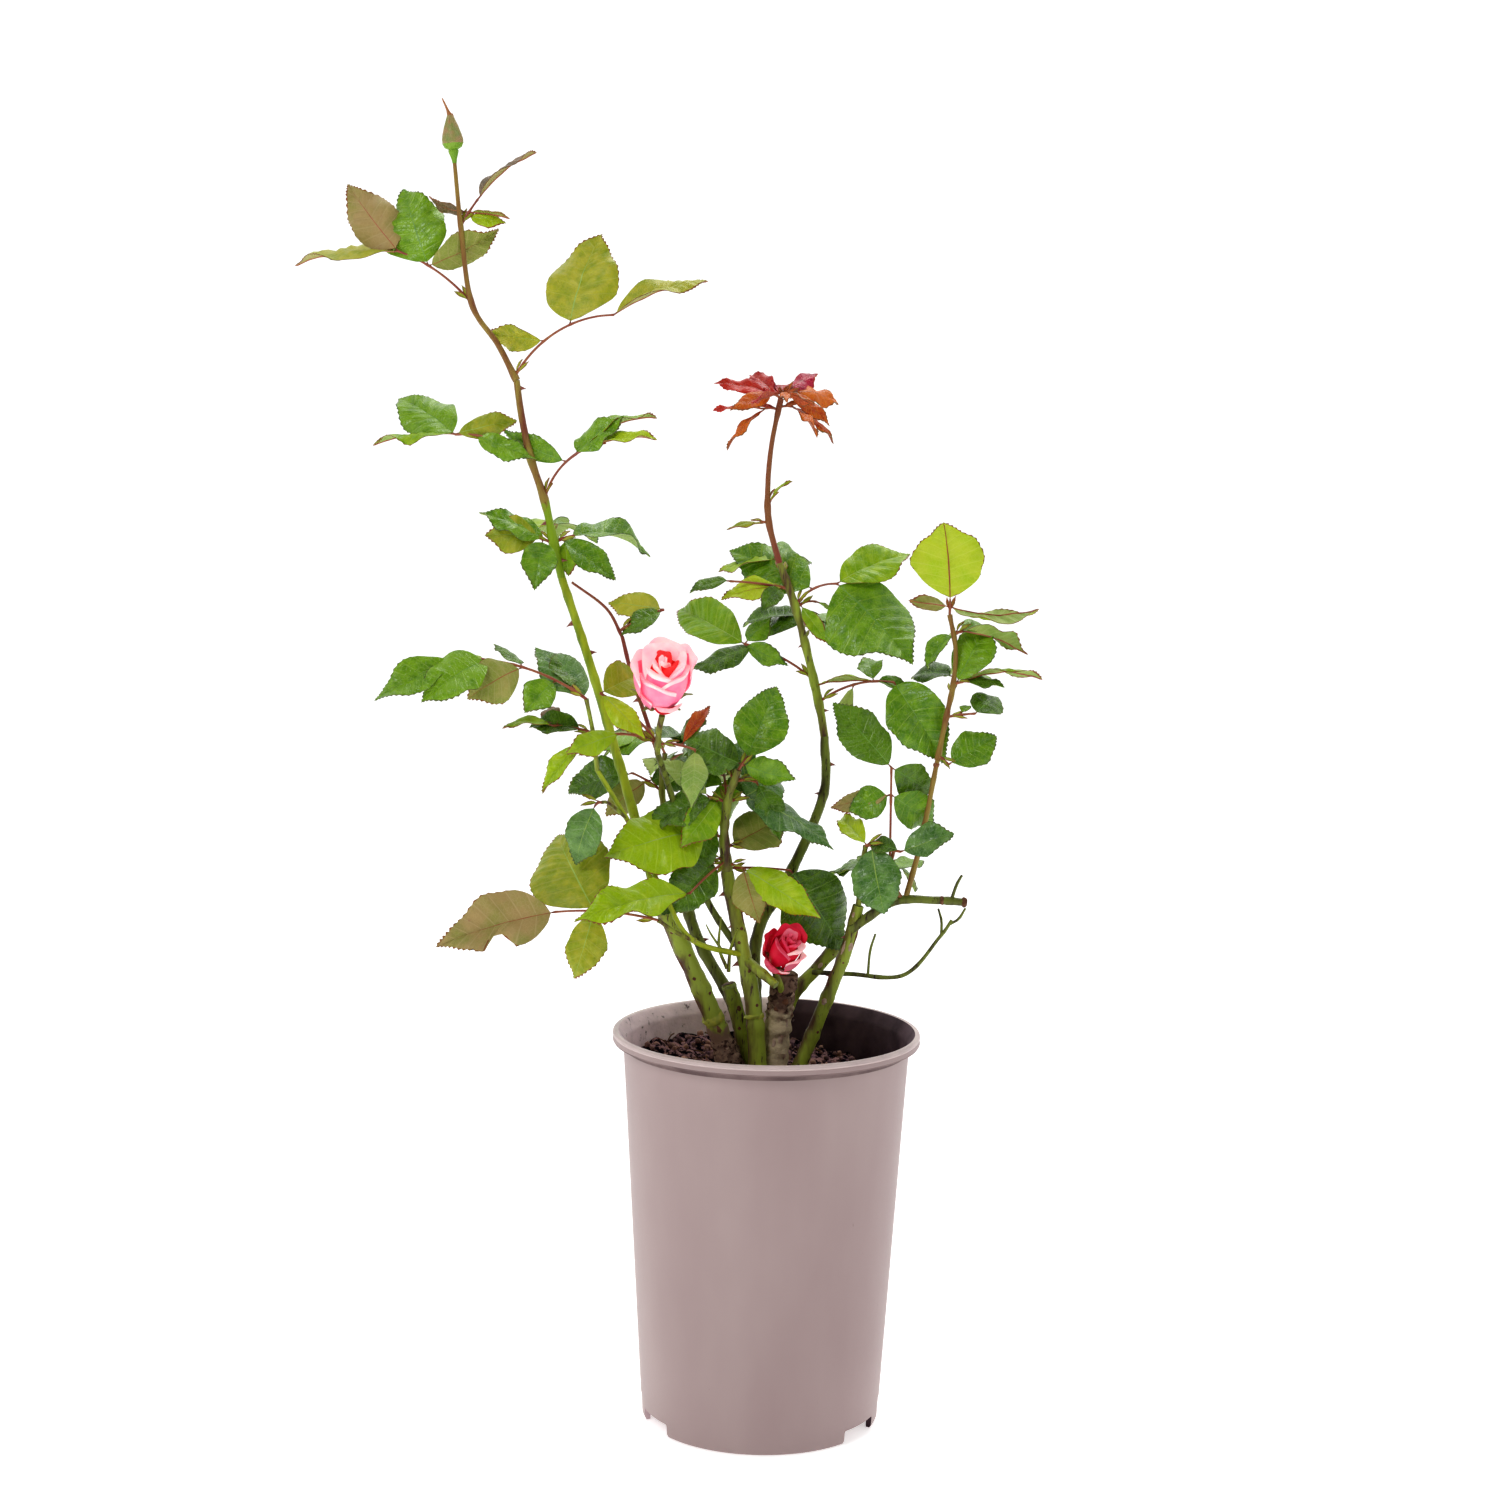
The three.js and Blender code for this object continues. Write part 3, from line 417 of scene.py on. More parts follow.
class Skin:
    """Points, faces and finishes of many small shapes, gathered before they become one mesh."""

    def __init__(self) -> None:
        """Starts with nothing."""
        self.points: list[np.ndarray] = []
        self.faces: list[list[int]] = []
        self.marks: list[np.ndarray] = []
        self.slots: list[int] = []
        self.finishes: list[Finish] = []
        self.total = 0

    def slot(self, finish: Finish) -> int:
        """Gives the number of a finish's material slot, and adds it when it is new.

        Args:
            finish: the finish.

        Returns:
            The slot's number.
        """
        if finish not in self.finishes:
            self.finishes.append(finish)
        return self.finishes.index(finish)

    def tube(
        self, rings: np.ndarray, slots: np.ndarray | int, caps: tuple[int, int],
        marks: np.ndarray | None = None,
    ) -> None:
        """Adds a closed tube through rings of points.

        Args:
            rings: rows of points, turning left round the way from the first ring to the last.
            slots: a slot for all faces, or one for each face between two rings.
            caps: the slots of the first and the last end.
            marks: for each point of a leaf its place across and along, where veins run.
        """
        count, sides = rings.shape[:2]
        ids = self.total + np.arange(count * sides).reshape(count, sides)
        first, second = ids[:-1], ids[1:]
        quads = np.stack([first, np.roll(first, -1, 1), np.roll(second, -1, 1), second], -1)
        self.faces += quads.reshape(-1, 4).tolist()
        shape = (count - 1, sides)
        self.slots += np.broadcast_to(slots, shape).reshape(-1).astype(int).tolist()
        centres = self.total + count * sides
        start, end = ids[0].tolist(), ids[-1].tolist()
        for k in range(sides):
            after = (k + 1) % sides
            self.faces.append([centres, start[after], start[k]])
            self.faces.append([centres + 1, end[k], end[after]])
            self.slots += list(caps)
        self.points.append(rings.reshape(-1, 3))
        self.points.append(np.array([rings[0].mean(0), rings[-1].mean(0)]))
        if marks is None:
            marks = np.zeros((count, sides, 3))
        self.marks += [marks.reshape(-1, 3), np.zeros((2, 3))]
        self.total += count * sides + 2

    def bar(self, rings: np.ndarray, finish: Finish) -> None:
        """Adds a closed tube of one finish."""
        slot = self.slot(finish)
        self.tube(rings, slot, (slot, slot))

    def leaf_sheet(
        self, grid: np.ndarray, thickness: np.ndarray, top: np.ndarray, under: np.ndarray,
        marks: np.ndarray,
    ) -> None:
        """Adds a thin closed sheet round a grid of points.

        Args:
            grid: rows of points from the foot to the tip, each from the left edge to the right one.
            thickness: how thick the sheet is at each point.
            top: the slot of each face of the upper side.
            under: the slot of each face of the under side.
            marks: each point's place across and along.
        """
        along = np.gradient(grid, axis=0)
        across = np.gradient(grid, axis=1)
        normals = np.cross(along, across)
        normals /= np.maximum(np.linalg.norm(normals, axis=2, keepdims=True), 1e-9)
        half = thickness[..., None] / 2
        rings = np.concatenate([(grid + normals * half)[:, ::-1], grid - normals * half], axis=1)
        edge_left, edge_right = top[:, :1], top[:, -1:]
        slots = np.concatenate([top[:, ::-1], edge_left, under, edge_right], axis=1)
        both = np.concatenate([marks[:, ::-1], marks], axis=1)
        self.tube(rings, slots, (int(top[0, 0]), int(top[-1, 0])), both)

    def build(self, name: str, crease: float = 45.0) -> bpy.types.Object:
        """Makes the mesh and its object.

        Args:
            name: the piece's name.
            crease: the angle in degrees over which an edge stays sharp.

        Returns:
            The new object.
        """
        mesh = bpy.data.meshes.new(name)
        mesh.from_pydata((np.concatenate(self.points) * MM).tolist(), [], self.faces)
        for finish in self.finishes:
            mesh.materials.append(material(finish))
        mesh.polygons.foreach_set("material_index", self.slots)
        mesh.polygons.foreach_set("use_smooth", [True] * len(self.faces))
        marks = mesh.attributes.new("leaf", "FLOAT_VECTOR", "POINT")
        marks.data.foreach_set("vector", np.concatenate(self.marks).ravel())
        mesh.set_sharp_from_angle(angle=math.radians(crease))
        piece = bpy.data.objects.new(name, mesh)
        bpy.context.scene.collection.objects.link(piece)
        return piece


def swept(
    points: list[Vector], radii: list[float], sides: int, ripple: float = 0.0, size: float = 6.0
) -> np.ndarray:
    """Gives the rings of a round bar along a line.

    Args:
        points: the middle line.
        radii: the radius at each point.
        sides: how many points a ring has.
        ripple: how far the surface stands in and out, as a share of the radius.
        size: the size of the ripples, in millimetres.

    Returns:
        The rings' points.
    """
    rings = []
    for point, radius, (tangent, side, other) in zip(points, radii, frames_along(points)):
        ring = []
        for k in range(sides):
            angle = 2 * math.pi * k / sides
            outward = side * math.cos(angle) + other * math.sin(angle)
            lift = 1.0
            if ripple:
                place = (point + outward * radius) / size
                lift += ripple * noise.fractal(place, 0.9, 2.1, 3)
            ring.append(point + outward * radius * lift)
        rings.append(ring)
    return np.array(rings, float)


def bark_marks(rings: np.ndarray, sided: float) -> np.ndarray:
    """Marks how far each point of a bar faces the light, for the bark's colour.

    Args:
        rings: the bar's rings.
        sided: how strongly both sides differ.

    Returns:
        A mark for each point, with the share in its third number.
    """
    outward = rings - rings.mean(1, keepdims=True)
    outward /= np.maximum(np.linalg.norm(outward, axis=2, keepdims=True), 1e-9)
    marks = np.zeros_like(rings)
    marks[..., 2] = sided * (outward @ np.array(LIGHT_SIDE)) + BARK_SHIFT * (sided > 0)
    return marks


def socket_colour(hex_digits: str) -> tuple[float, float, float, float]:
    """Turns hex digits of a screen colour into the shader's linear colour.

    Args:
        hex_digits: the six digits.

    Returns:
        Red, green, blue and full alpha.
    """
    parts = [int(hex_digits[k : k + 2], 16) / 255 for k in (0, 2, 4)]
    linear = [p / 12.92 if p <= 0.04045 else ((p + 0.055) / 1.055) ** 2.4 for p in parts]
    return (*linear, 1.0)


class Net:
    """The nodes of a material, a world or a node group, wired as they are added."""

    def __init__(self, tree: bpy.types.NodeTree) -> None:
        """Keeps the tree that takes the nodes."""
        self.tree = tree

    def feed(self, node: bpy.types.Node, feeds: dict) -> None:
        """Feeds a node's inputs.

        Args:
            node: the node.
            feeds: for each input its value, or the socket that it is linked to.
        """
        for label, value in feeds.items():
            if isinstance(value, bpy.types.NodeSocket):
                self.tree.links.new(value, node.inputs[label])
            else:
                node.inputs[label].default_value = value

    def add(self, kind: str, feeds: dict, **options: object) -> bpy.types.bpy_prop_collection:
        """Adds a node, sets its options and feeds its inputs.

        Args:
            kind: the kind of node.
            feeds: for each input its value, or the socket that it is linked to.
            options: the node's options.

        Returns:
            The node's outputs.
        """
        node = self.tree.nodes.new(f"ShaderNode{kind}")
        for key, value in options.items():
            setattr(node, key, value)
        self.feed(node, feeds)
        return node.outputs

    def shared(self, name: str, feeds: dict) -> bpy.types.bpy_prop_collection:
        """Adds a node of one of the shared groups and gives its outputs."""
        return self.add("Group", feeds, node_tree=GROUPS[name])

    def reckon(self, operation: str, *terms: object, clamp: bool = False) -> bpy.types.NodeSocket:
        """Adds a node that reckons with up to three terms and gives its result."""
        return self.add("Math", dict(enumerate(terms)), operation=operation, use_clamp=clamp)["Value"]

    def blend(self, share: object, first: object, second: object) -> bpy.types.NodeSocket:
        """Adds a node that mixes two colours and gives its result."""
        return self.add("Mix", {"Factor": share, "A": first, "B": second}, data_type="RGBA")["Result"]


class GroupNet(Net):
    """The nodes of a shared group, between its own inputs and outputs."""

    KINDS = {
        **dict.fromkeys(("Vector", "Marks"), "NodeSocketVector"),
        **dict.fromkeys(("Colour", "Tone", "Drift", "Speck", "Low", "Vein"), "NodeSocketColor"),
    }

    def __init__(self, name: str, inputs: tuple, outputs: tuple) -> None:
        """Starts a group.

        Args:
            name: the group's name.
            inputs: the names of its inputs.
            outputs: the names of its outputs.
        """
        super().__init__(bpy.data.node_groups.new(name, "ShaderNodeTree"))
        for way, labels in (("INPUT", inputs), ("OUTPUT", outputs)):
            for label in labels:
                kind = self.KINDS.get(label, "NodeSocketFloat")
                self.tree.interface.new_socket(label, in_out=way, socket_type=kind)
        self.given = self.tree.nodes.new("NodeGroupInput").outputs
        self.sink = self.tree.nodes.new("NodeGroupOutput")

    def closed(self, **results: bpy.types.NodeSocket) -> bpy.types.NodeTree:
        """Links the results to the group's outputs and gives the group."""
        self.feed(self.sink, results)
        return self.tree


def mottle_group() -> bpy.types.NodeTree:
    """Makes the group that drifts between two colours in patches, with a fine grain on top.

    Returns:
        The group.
    """
    net = GroupNet("mottle", ("Vector", "Tone", "Drift", "Patches", "Grain", "Shift"), ("Colour", "Height"))
    given = net.given
    patches = net.add("TexNoise", {"Vector": given["Vector"], "Scale": given["Patches"], "Detail": 4})
    grain = net.add("TexNoise", {"Vector": given["Vector"], "Scale": given["Grain"], "Detail": 3})
    shifted = net.reckon("ADD", patches["Fac"], given["Shift"])
    low, high = PATCH_EDGES
    spread = net.add("MapRange", {"Value": shifted, "From Min": low, "From Max": high})
    colour = net.blend(spread["Result"], given["Tone"], given["Drift"])
    return net.closed(Colour=colour, Height=grain["Fac"])


def speck_group() -> bpy.types.NodeTree:
    """Makes the group that scatters specks of another colour.

    Returns:
        The group.
    """
    net = GroupNet("specks", ("Vector", "Colour", "Speck", "Specks", "Share"), ("Colour",))
    given = net.given
    field = net.add(
        "TexNoise", {"Vector": given["Vector"], "Scale": given["Specks"], "Detail": 5, "Roughness": 0.65}
    )
    limit = net.reckon("SUBTRACT", SPECK_CEILING, given["Share"])
    above = net.reckon("SUBTRACT", field["Fac"], limit)
    share = net.reckon("MULTIPLY", above, SPECK_SHARPNESS, clamp=True)
    return net.closed(Colour=net.blend(share, given["Colour"], given["Speck"]))


def foot_group() -> bpy.types.NodeTree:
    """Makes the group that lets a second colour take over below a ragged level.

    Returns:
        The group.
    """
    net = GroupNet("foot", ("Vector", "Colour", "Low", "Level"), ("Colour",))
    given = net.given
    height = net.add("SeparateXYZ", {"Vector": given["Vector"]})["Z"]
    ragged = net.add("TexNoise", {"Vector": given["Vector"], "Scale": LEVEL_NOISE})["Fac"]
    wander = net.reckon("MULTIPLY_ADD", ragged, LEVEL_WANDER, height)
    below = net.reckon("SUBTRACT", given["Level"], wander)
    share = net.reckon("MULTIPLY_ADD", below, LEVEL_SHARPNESS, LEVEL_CENTRE, clamp=True)
    return net.closed(Colour=net.blend(share, given["Colour"], given["Low"]))


def vein_group() -> bpy.types.NodeTree:
    """Makes the group that draws a leaflet's side veins and the fine net between them.

    Returns:
        The group.
    """
    net = GroupNet("veins", ("Marks", "Vector", "Colour", "Vein"), ("Colour", "Height"))
    given = net.given
    along = net.add("SeparateXYZ", {"Vector": given["Marks"]})["Y"]
    wave = net.reckon("PINGPONG", net.reckon("MULTIPLY", along, VEIN_PAIRS), 0.5)
    side = net.add("MapRange", {"Value": wave, "From Min": VEIN_WIDTH, "From Max": 0.0})
    cells = net.add(
        "TexVoronoi", {"Vector": given["Vector"], "Scale": NET_SCALE}, feature="DISTANCE_TO_EDGE"
    )
    fine = net.add(
        "MapRange",
        {"Value": cells["Distance"], "From Min": NET_WIDTH, "From Max": 0.0, "To Max": NET_SHARE},
    )
    both = net.reckon("MAXIMUM", side["Result"], fine["Result"])
    colour = net.blend(net.reckon("MULTIPLY", both, VEIN_SHARE), given["Colour"], given["Vein"])
    return net.closed(Colour=colour, Height=both)


GROUPS = {
    "mottle": mottle_group(), "specks": speck_group(), "foot": foot_group(), "veins": vein_group(),
}


def material(finish: Finish) -> bpy.types.Material:
    """Gives a finish's material, and makes it when it is asked for first.

    Args:
        finish: the finish to turn into nodes.

    Returns:
        The material.
    """
    made = bpy.data.materials.get(finish.name)
    if made:
        return made
    made = bpy.data.materials.new(finish.name)
    made.use_nodes = True
    net = Net(made.node_tree)
    place = net.add("TexCoord", {})["Object"]
    mapped = net.add("Mapping", {"Vector": place, "Scale": (1, 1, finish.stretch)})["Vector"]
    tones = {
        "Vector": mapped, "Tone": socket_colour(finish.tone), "Drift": socket_colour(finish.drift),
        "Patches": 1 / finish.patch, "Grain": 1 / finish.grain,
    }
    if finish.veins or finish.sided:
        marks = net.add("Attribute", {}, attribute_name="leaf")["Vector"]
        tones["Shift"] = net.add("SeparateXYZ", {"Vector": marks})["Z"]
    mottle = net.shared("mottle", tones)
    colour, height = mottle["Colour"], mottle["Height"]
    if finish.veins:
        vein = socket_colour(finish.veins)
        veins = net.shared("veins", {"Marks": marks, "Vector": place, "Colour": colour, "Vein": vein})
        colour, height = veins["Colour"], veins["Height"]
    if finish.speck:
        colour = net.shared("specks", {
            "Vector": mapped, "Colour": colour, "Speck": socket_colour(finish.speck),
            "Specks": 1 / finish.speck_size, "Share": finish.speck_share,
        })["Colour"]
    if finish.low:
        turn = -math.pi / 2 if finish.low_sideways else 0
        turned = net.add("Mapping", {"Vector": place, "Rotation": (0, turn, 0)})["Vector"]
        low = {"Vector": turned, "Low": socket_colour(finish.low), "Level": finish.low_level}
        colour = net.shared("foot", {"Colour": colour, **low})["Colour"]
    smooth, rough = finish.roughness - GLOSS_SWING, finish.roughness + GLOSS_SWING
    gloss = net.add("MapRange", {"Value": mottle["Height"], "To Min": smooth, "To Max": rough})
    bump = net.add("Bump", {"Height": height, "Strength": finish.relief, "Distance": finish.grain / 2})
    surface = {
        "Base Color": colour, "Roughness": gloss["Result"], "Normal": bump["Normal"],
        "Specular IOR Level": finish.shine, "Subsurface Weight": finish.subsurface_and_painted_glow,
        "Subsurface Scale": GLOW_DEPTH,
    }
    # Painted light: the surface gives off light in its own colour, though it is no lamp.
    if finish.subsurface_and_painted_glow:
        surface |= {"Emission Color": colour, "Emission Strength": finish.subsurface_and_painted_glow}
    net.feed(made.node_tree.nodes["Principled BSDF"], surface)
    return made


def hand_in(piece: bpy.types.Object, node: str) -> None:
    """Puts a piece on the body, hides the solid that it stands for, and reports its triangles in the log.

    Args:
        piece: the finished piece.
        node: the CAD node that it replaces.
    """
    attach(piece, "root")
    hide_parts(node)
    piece.data.calc_loop_triangles()
    LOG.info("%s: %d triangles", piece.name, len(piece.data.loop_triangles))


@dataclass(frozen=True)
class Blade:
    """One leaflet: where it starts, how it points and how it is shaped."""

    foot: Vector
    along: Vector
    upper: Vector
    twist: float
    length: float
    width: float
    curl: float
    dress: LeafDress
    fold: float = 12.0
    wave: float = 1.0
    bite: float = 0.0

    LAMINA_STRIPS = 4
    TOOTH_PITCH = 3.0
    TEETH = (6, 18)
    VEIN_ROWS = 4
    VEIN_LEAN = 0.16
    BLUNT_FROM = 0.86
    BLUNTNESS = 0.25
    BITE_DEPTH = 0.62
    BITE_REACH = 0.085
    LEAST_HALF = 0.16
    THICKNESS = 0.36
    EDGE_THICKNESS = 0.14
    RIB_THICKNESS = (0.5, 1.1, 0.5)
    TIP_THICKNESS = 0.2
    FOOT_THICKNESS = 0.9
    RIPPLE_PITCHES = (5.5, 8.0)

    def swell(self, u: np.ndarray, belly: float, point: float) -> np.ndarray:
        """Gives the share of the half width at a share of the length.

        Args:
            u: the share of the length.
            belly: under 1 the leaflet is widest nearer its foot.
            point: how far the tip is drawn out.

        Returns:
            The share of the half width.
        """
        u = np.clip(u, 0, 1)
        bulge = np.clip(np.sin(np.pi * u**belly), 0, 1) ** 0.78 * (1 - 0.1 * u)
        return bulge * (1 - point * np.clip((u - 0.62) / 0.38, 0, 1) ** 1.3)

    def half_widths(self, u: np.ndarray, lean: np.ndarray, dice: Dice) -> tuple[np.ndarray, np.ndarray]:
        """Gives the uneven half widths of both sides, with a bite where the leaflet is eaten.

        Args:
            u: the share of the length.
            lean: how far the veins lean forward.
            dice: deals the unevenness.

        Returns:
            The half widths of the left and the right side.
        """
        belly, point = dice.between(0.8, 0.98), dice.between(0.25, 0.55)
        if self.width > self.BLUNT_FROM:
            point *= self.BLUNTNESS
        even = 0.5 * self.width * self.length * self.swell(u + lean, belly, point)
        sides = []
        for side in (-1, 1):
            wander = 0.045 * np.sin(u * dice.between(9, 15) + dice.between(0, 6))
            wander += 0.03 * np.sin(u * dice.between(20, 28) + dice.between(0, 6))
            width = even * (1 + dice.swing(0.1) + wander)
            bitten = abs(self.bite) if self.bite * side > 0 else 0.0
            if bitten:
                width *= 1 - self.BITE_DEPTH * np.exp(-(((u - bitten) / self.BITE_REACH) ** 4))
            sides.append(np.maximum(width, self.LEAST_HALF))
        return sides[0], sides[1]

    def add_to(self, skin: Skin, dice: Dice, stalk: Finish) -> None:
        """Adds the leaflet to a skin.

        Args:
            skin: what it is added to.
            dice: deals the fold, the waves and the arch.
            stalk: the finish of its own short stalk.
        """
        fewest, most = self.TEETH
        teeth = int(min(most, max(fewest, self.length / self.TOOTH_PITCH)))
        rows = 2 * teeth
        u = np.linspace(0, 1, rows + 1)
        lean = self.VEIN_LEAN * np.sin(np.pi * u)
        left, right = self.half_widths(u, lean, dice)
        half = np.maximum(left, right)
        rib = np.clip((0.34 - 0.2 * u) / half, 0.02, 0.4)
        edge = 1 - np.clip(0.5 / half, 0.02, 0.35)
        lamina = np.linspace(0, 1, self.LAMINA_STRIPS + 1)
        inner = rib[:, None] + (edge - rib)[:, None] * lamina
        share = np.concatenate([np.zeros((rows + 1, 1)), inner, np.ones((rows + 1, 1))], axis=1)
        share = np.concatenate([-share[:, :0:-1], share], axis=1)
        size = np.abs(share)
        lateral = share * np.where(share < 0, left[:, None], right[:, None])
        depth = dice.between(0.012, 0.024) * self.length * min(1, self.length / 40)
        notch = np.where(np.arange(rows + 1) % 2 == 1, depth, 0)
        notch = np.minimum(notch, 0.4 * np.minimum(left, right))
        lateral[:, 0] += notch
        lateral[:, -1] -= notch
        forward = u[:, None] + lean[:, None] * size
        forward[:, [0, -1]] += np.where(np.arange(rows + 1) % 2 == 0, 0.4 / rows, 0)[:, None]
        forward = np.clip(forward, 0, 1)
        fold = math.radians(self.fold + dice.swing(14)) * (1.25 - 0.5 * u[:, None])
        arch = dice.between(0.05, 0.42) * half.max()
        waves = self.wave * dice.between(0.03, 0.075) * self.length
        phase = np.where(share < 0, dice.between(0, 6), dice.between(0, 6))
        period = dice.between(1.1, 2.4) * 2 * math.pi
        rows_along = np.arange(rows + 1)
        quilt = 0.021 * self.length * (0.5 - 0.5 * np.cos(2 * np.pi * rows_along / self.VEIN_ROWS))
        height = np.abs(lateral) * np.tan(fold) - arch * (lateral / half.max()) ** 2
        height += quilt[:, None] * np.sin(np.pi * size) ** 0.7 * np.sin(np.pi * u)[:, None]
        height += waves * size**2 * np.sin(period * forward + phase) * np.sin(np.pi * u)[:, None]
        height += lateral * math.tan(math.radians(dice.swing(22))) * u[:, None]
        height -= dice.between(-0.03, 0.13) * self.length * u[:, None] ** 2.4
        for pitch in self.RIPPLE_PITCHES:
            place = lateral / pitch * dice.between(0.8, 1.3) + dice.between(0, 6)
            ahead = forward * self.length / pitch + dice.between(0, 6)
            height += 0.06 * pitch * np.sin(place * 1.7 + ahead) * np.sin(ahead * 1.3 - place)
        height[:, size.shape[1] // 2] -= 0.2
        lateral = lateral + dice.swing(0.09) * self.length * u[:, None] ** 2
        grid = self.placed(lateral, forward, height)
        behind = np.full_like(forward[:1], -1)
        foot_row = self.placed(lateral[:1] / half[0] * 0.64, behind, height[:1] * 0)
        grid = np.concatenate([foot_row, grid])
        strips = share.shape[1] - 1
        middle = strips // 2
        thickness = np.full(grid.shape[:2], self.THICKNESS)
        thickness[:, [0, -1]] = self.EDGE_THICKNESS
        thickness[:, middle - 1 : middle + 2] = self.RIB_THICKNESS
        thickness[-1] = self.TIP_THICKNESS
        thickness[0] = self.FOOT_THICKNESS
        top = np.full((rows + 1, strips), skin.slot(self.dress.upper))
        under = np.full((rows + 1, strips), skin.slot(self.dress.under))
        for side, lamina_slot in ((top, self.dress.rib), (under, self.dress.keel)):
            side[:, middle - 1 : middle + 1] = skin.slot(lamina_slot)
            side[:, [0, -1]] = skin.slot(self.dress.edge)
            side[0] = skin.slot(stalk)
        along = np.broadcast_to(np.concatenate([[0], u])[:, None], grid.shape[:2])
        across = np.concatenate([share[:1] * 0, share])
        marks = np.stack([across, along, np.full_like(along, dice.swing(0.16))], -1)
        skin.leaf_sheet(grid, thickness, top, under, marks)

    def placed(self, lateral: np.ndarray, forward: np.ndarray, height: np.ndarray) -> np.ndarray:
        """Bends the flat leaflet into its place.

        Args:
            lateral: the distance of each point from the rib.
            forward: its share of the length, or -1 for the foot of the leaflet's stalk.
            height: how far it stands above the flat leaflet.

        Returns:
            The points.
        """
        along = np.array(self.along)
        across = unit(self.upper.cross(self.along))
        across = np.array(rotated(across, self.along, self.twist))
        face = np.cross(along, across)
        bend = math.radians(self.curl) * np.clip(forward, 0, 1)[..., None]
        reach = np.where(forward < 0, 0, PETIOLULE + self.length * forward)[..., None]
        spot = np.array(self.foot) + (along * np.cos(bend / 2) - face * np.sin(bend / 2)) * reach
        lifted = face * np.cos(bend) + along * np.sin(bend)
        return spot + across * lateral[..., None] + lifted * height[..., None]


@dataclass(frozen=True)
class Leaf:
    """A compound leaf, in the form of the rows in the part's source, with its tones.

    Most stalks are those of the solids, but many leaflets are turned or sized otherwise here.

    Attributes:
        at: its place on the stem, counted in route points.
        azimuth: the stalk's compass direction.
        rise: how steeply the stalk sets out.
        roll: how far its upper side is turned over.
        reach: the stalk's length.
        droop: how far its rise falls off towards its end.
        size: the length of the end leaflet.
        fan: the leaflets, or the count of an even leaf.
        tones: the tones of the leaflets, dealt out in turn.
    """

    at: float
    azimuth: float
    rise: float
    roll: float
    reach: float
    droop: float
    size: float
    fan: list | int
    tones: tuple = (Tone.MID,)

    def frames(self, foot: Vector) -> list[tuple[Vector, Vector, Vector]]:
        """Gives the course of the stalk.

        Args:
            foot: where it springs from the stem.

        Returns:
            Its points, each with its direction and its upper side.
        """
        around = math.radians(self.azimuth)
        level = Vector((-math.sin(around), math.cos(around), 0))
        place = foot.copy()
        frames = []
        for k in range(STALK_STEPS + 1):
            tangent = self.heading(around, k / STALK_STEPS)
            side = rotated(level, tangent, self.roll)
            frames.append((place.copy(), tangent, tangent.cross(side)))
            place += self.heading(around, (k + 0.5) / STALK_STEPS) * (self.reach / STALK_STEPS)
        return frames

    def heading(self, around: float, along: float) -> Vector:
        """Gives the stalk's direction at a share of the way."""
        up = math.radians(self.rise - self.droop * along)
        return Vector((math.cos(up) * math.cos(around), math.cos(up) * math.sin(around), math.sin(up)))

    def leaflets(self) -> list:
        """Gives the rows of the leaflets.

        Returns:
            The rows, each with its share of the stalk, turn, lift and size, and at times more.
        """
        if isinstance(self.fan, list):
            return self.fan
        pairs = (self.fan - 1) // 2
        rows = [[1, 0, -10, 1]]
        for k in range(pairs):
            along = 1 - (k + 0.6) * 0.62 / (pairs + 0.2)
            rows += [[along, 56, -6, 0.92 - 0.13 * k], [along, -56, -6, 0.92 - 0.13 * k]]
        return rows


@dataclass(frozen=True)
class Thorns:
    """The hooked prickles of a limb or stem, with the line that they stand on and its radius."""

    route: Route
    radius: float

    RINGS = 5
    SIDES = 8
    SINK = 0.7
    REACH = 1.1
    HOOK = 0.28

    def add_to(self, skin: Skin, prickles: tuple) -> None:
        """Adds each prickle, its flat foot sunk in the bark and its tip hooked down.

        Args:
            skin: what they are added to.
            prickles: for each its place along the line, its compass direction and its length.
        """
        slot = skin.slot(PRICKLE)
        for at, azimuth, length in prickles:
            tangent = self.route.heading(at)
            outward = square_to(compass(azimuth), tangent)
            side = tangent.cross(outward)
            foot = self.route.at(at) + outward * self.radius * self.SINK
            rings = []
            for k in range(self.RINGS):
                t = k / (self.RINGS - 1)
                narrow = (1 - t) ** 1.3
                tall, wide = 0.42 * length * narrow + 0.1, 0.16 * length * narrow + 0.08
                middle = foot + outward * length * self.REACH * t - tangent * length * self.HOOK * t * t
                turns = [2 * math.pi * j / self.SIDES for j in range(self.SIDES)]
                ring = [middle + side * wide * math.cos(a) + tangent * tall * math.sin(a) for a in turns]
                rings.append(ring)
            rings = np.array(rings, float)
            towards = np.cross(rings[0, 1] - rings[0, 0], rings[1, 0] - rings[0, 0])
            if np.dot(towards, rings[0, 0] - rings[0].mean(0)) < 0:
                rings = rings[:, ::-1]
            skin.tube(rings, slot, (slot, slot))


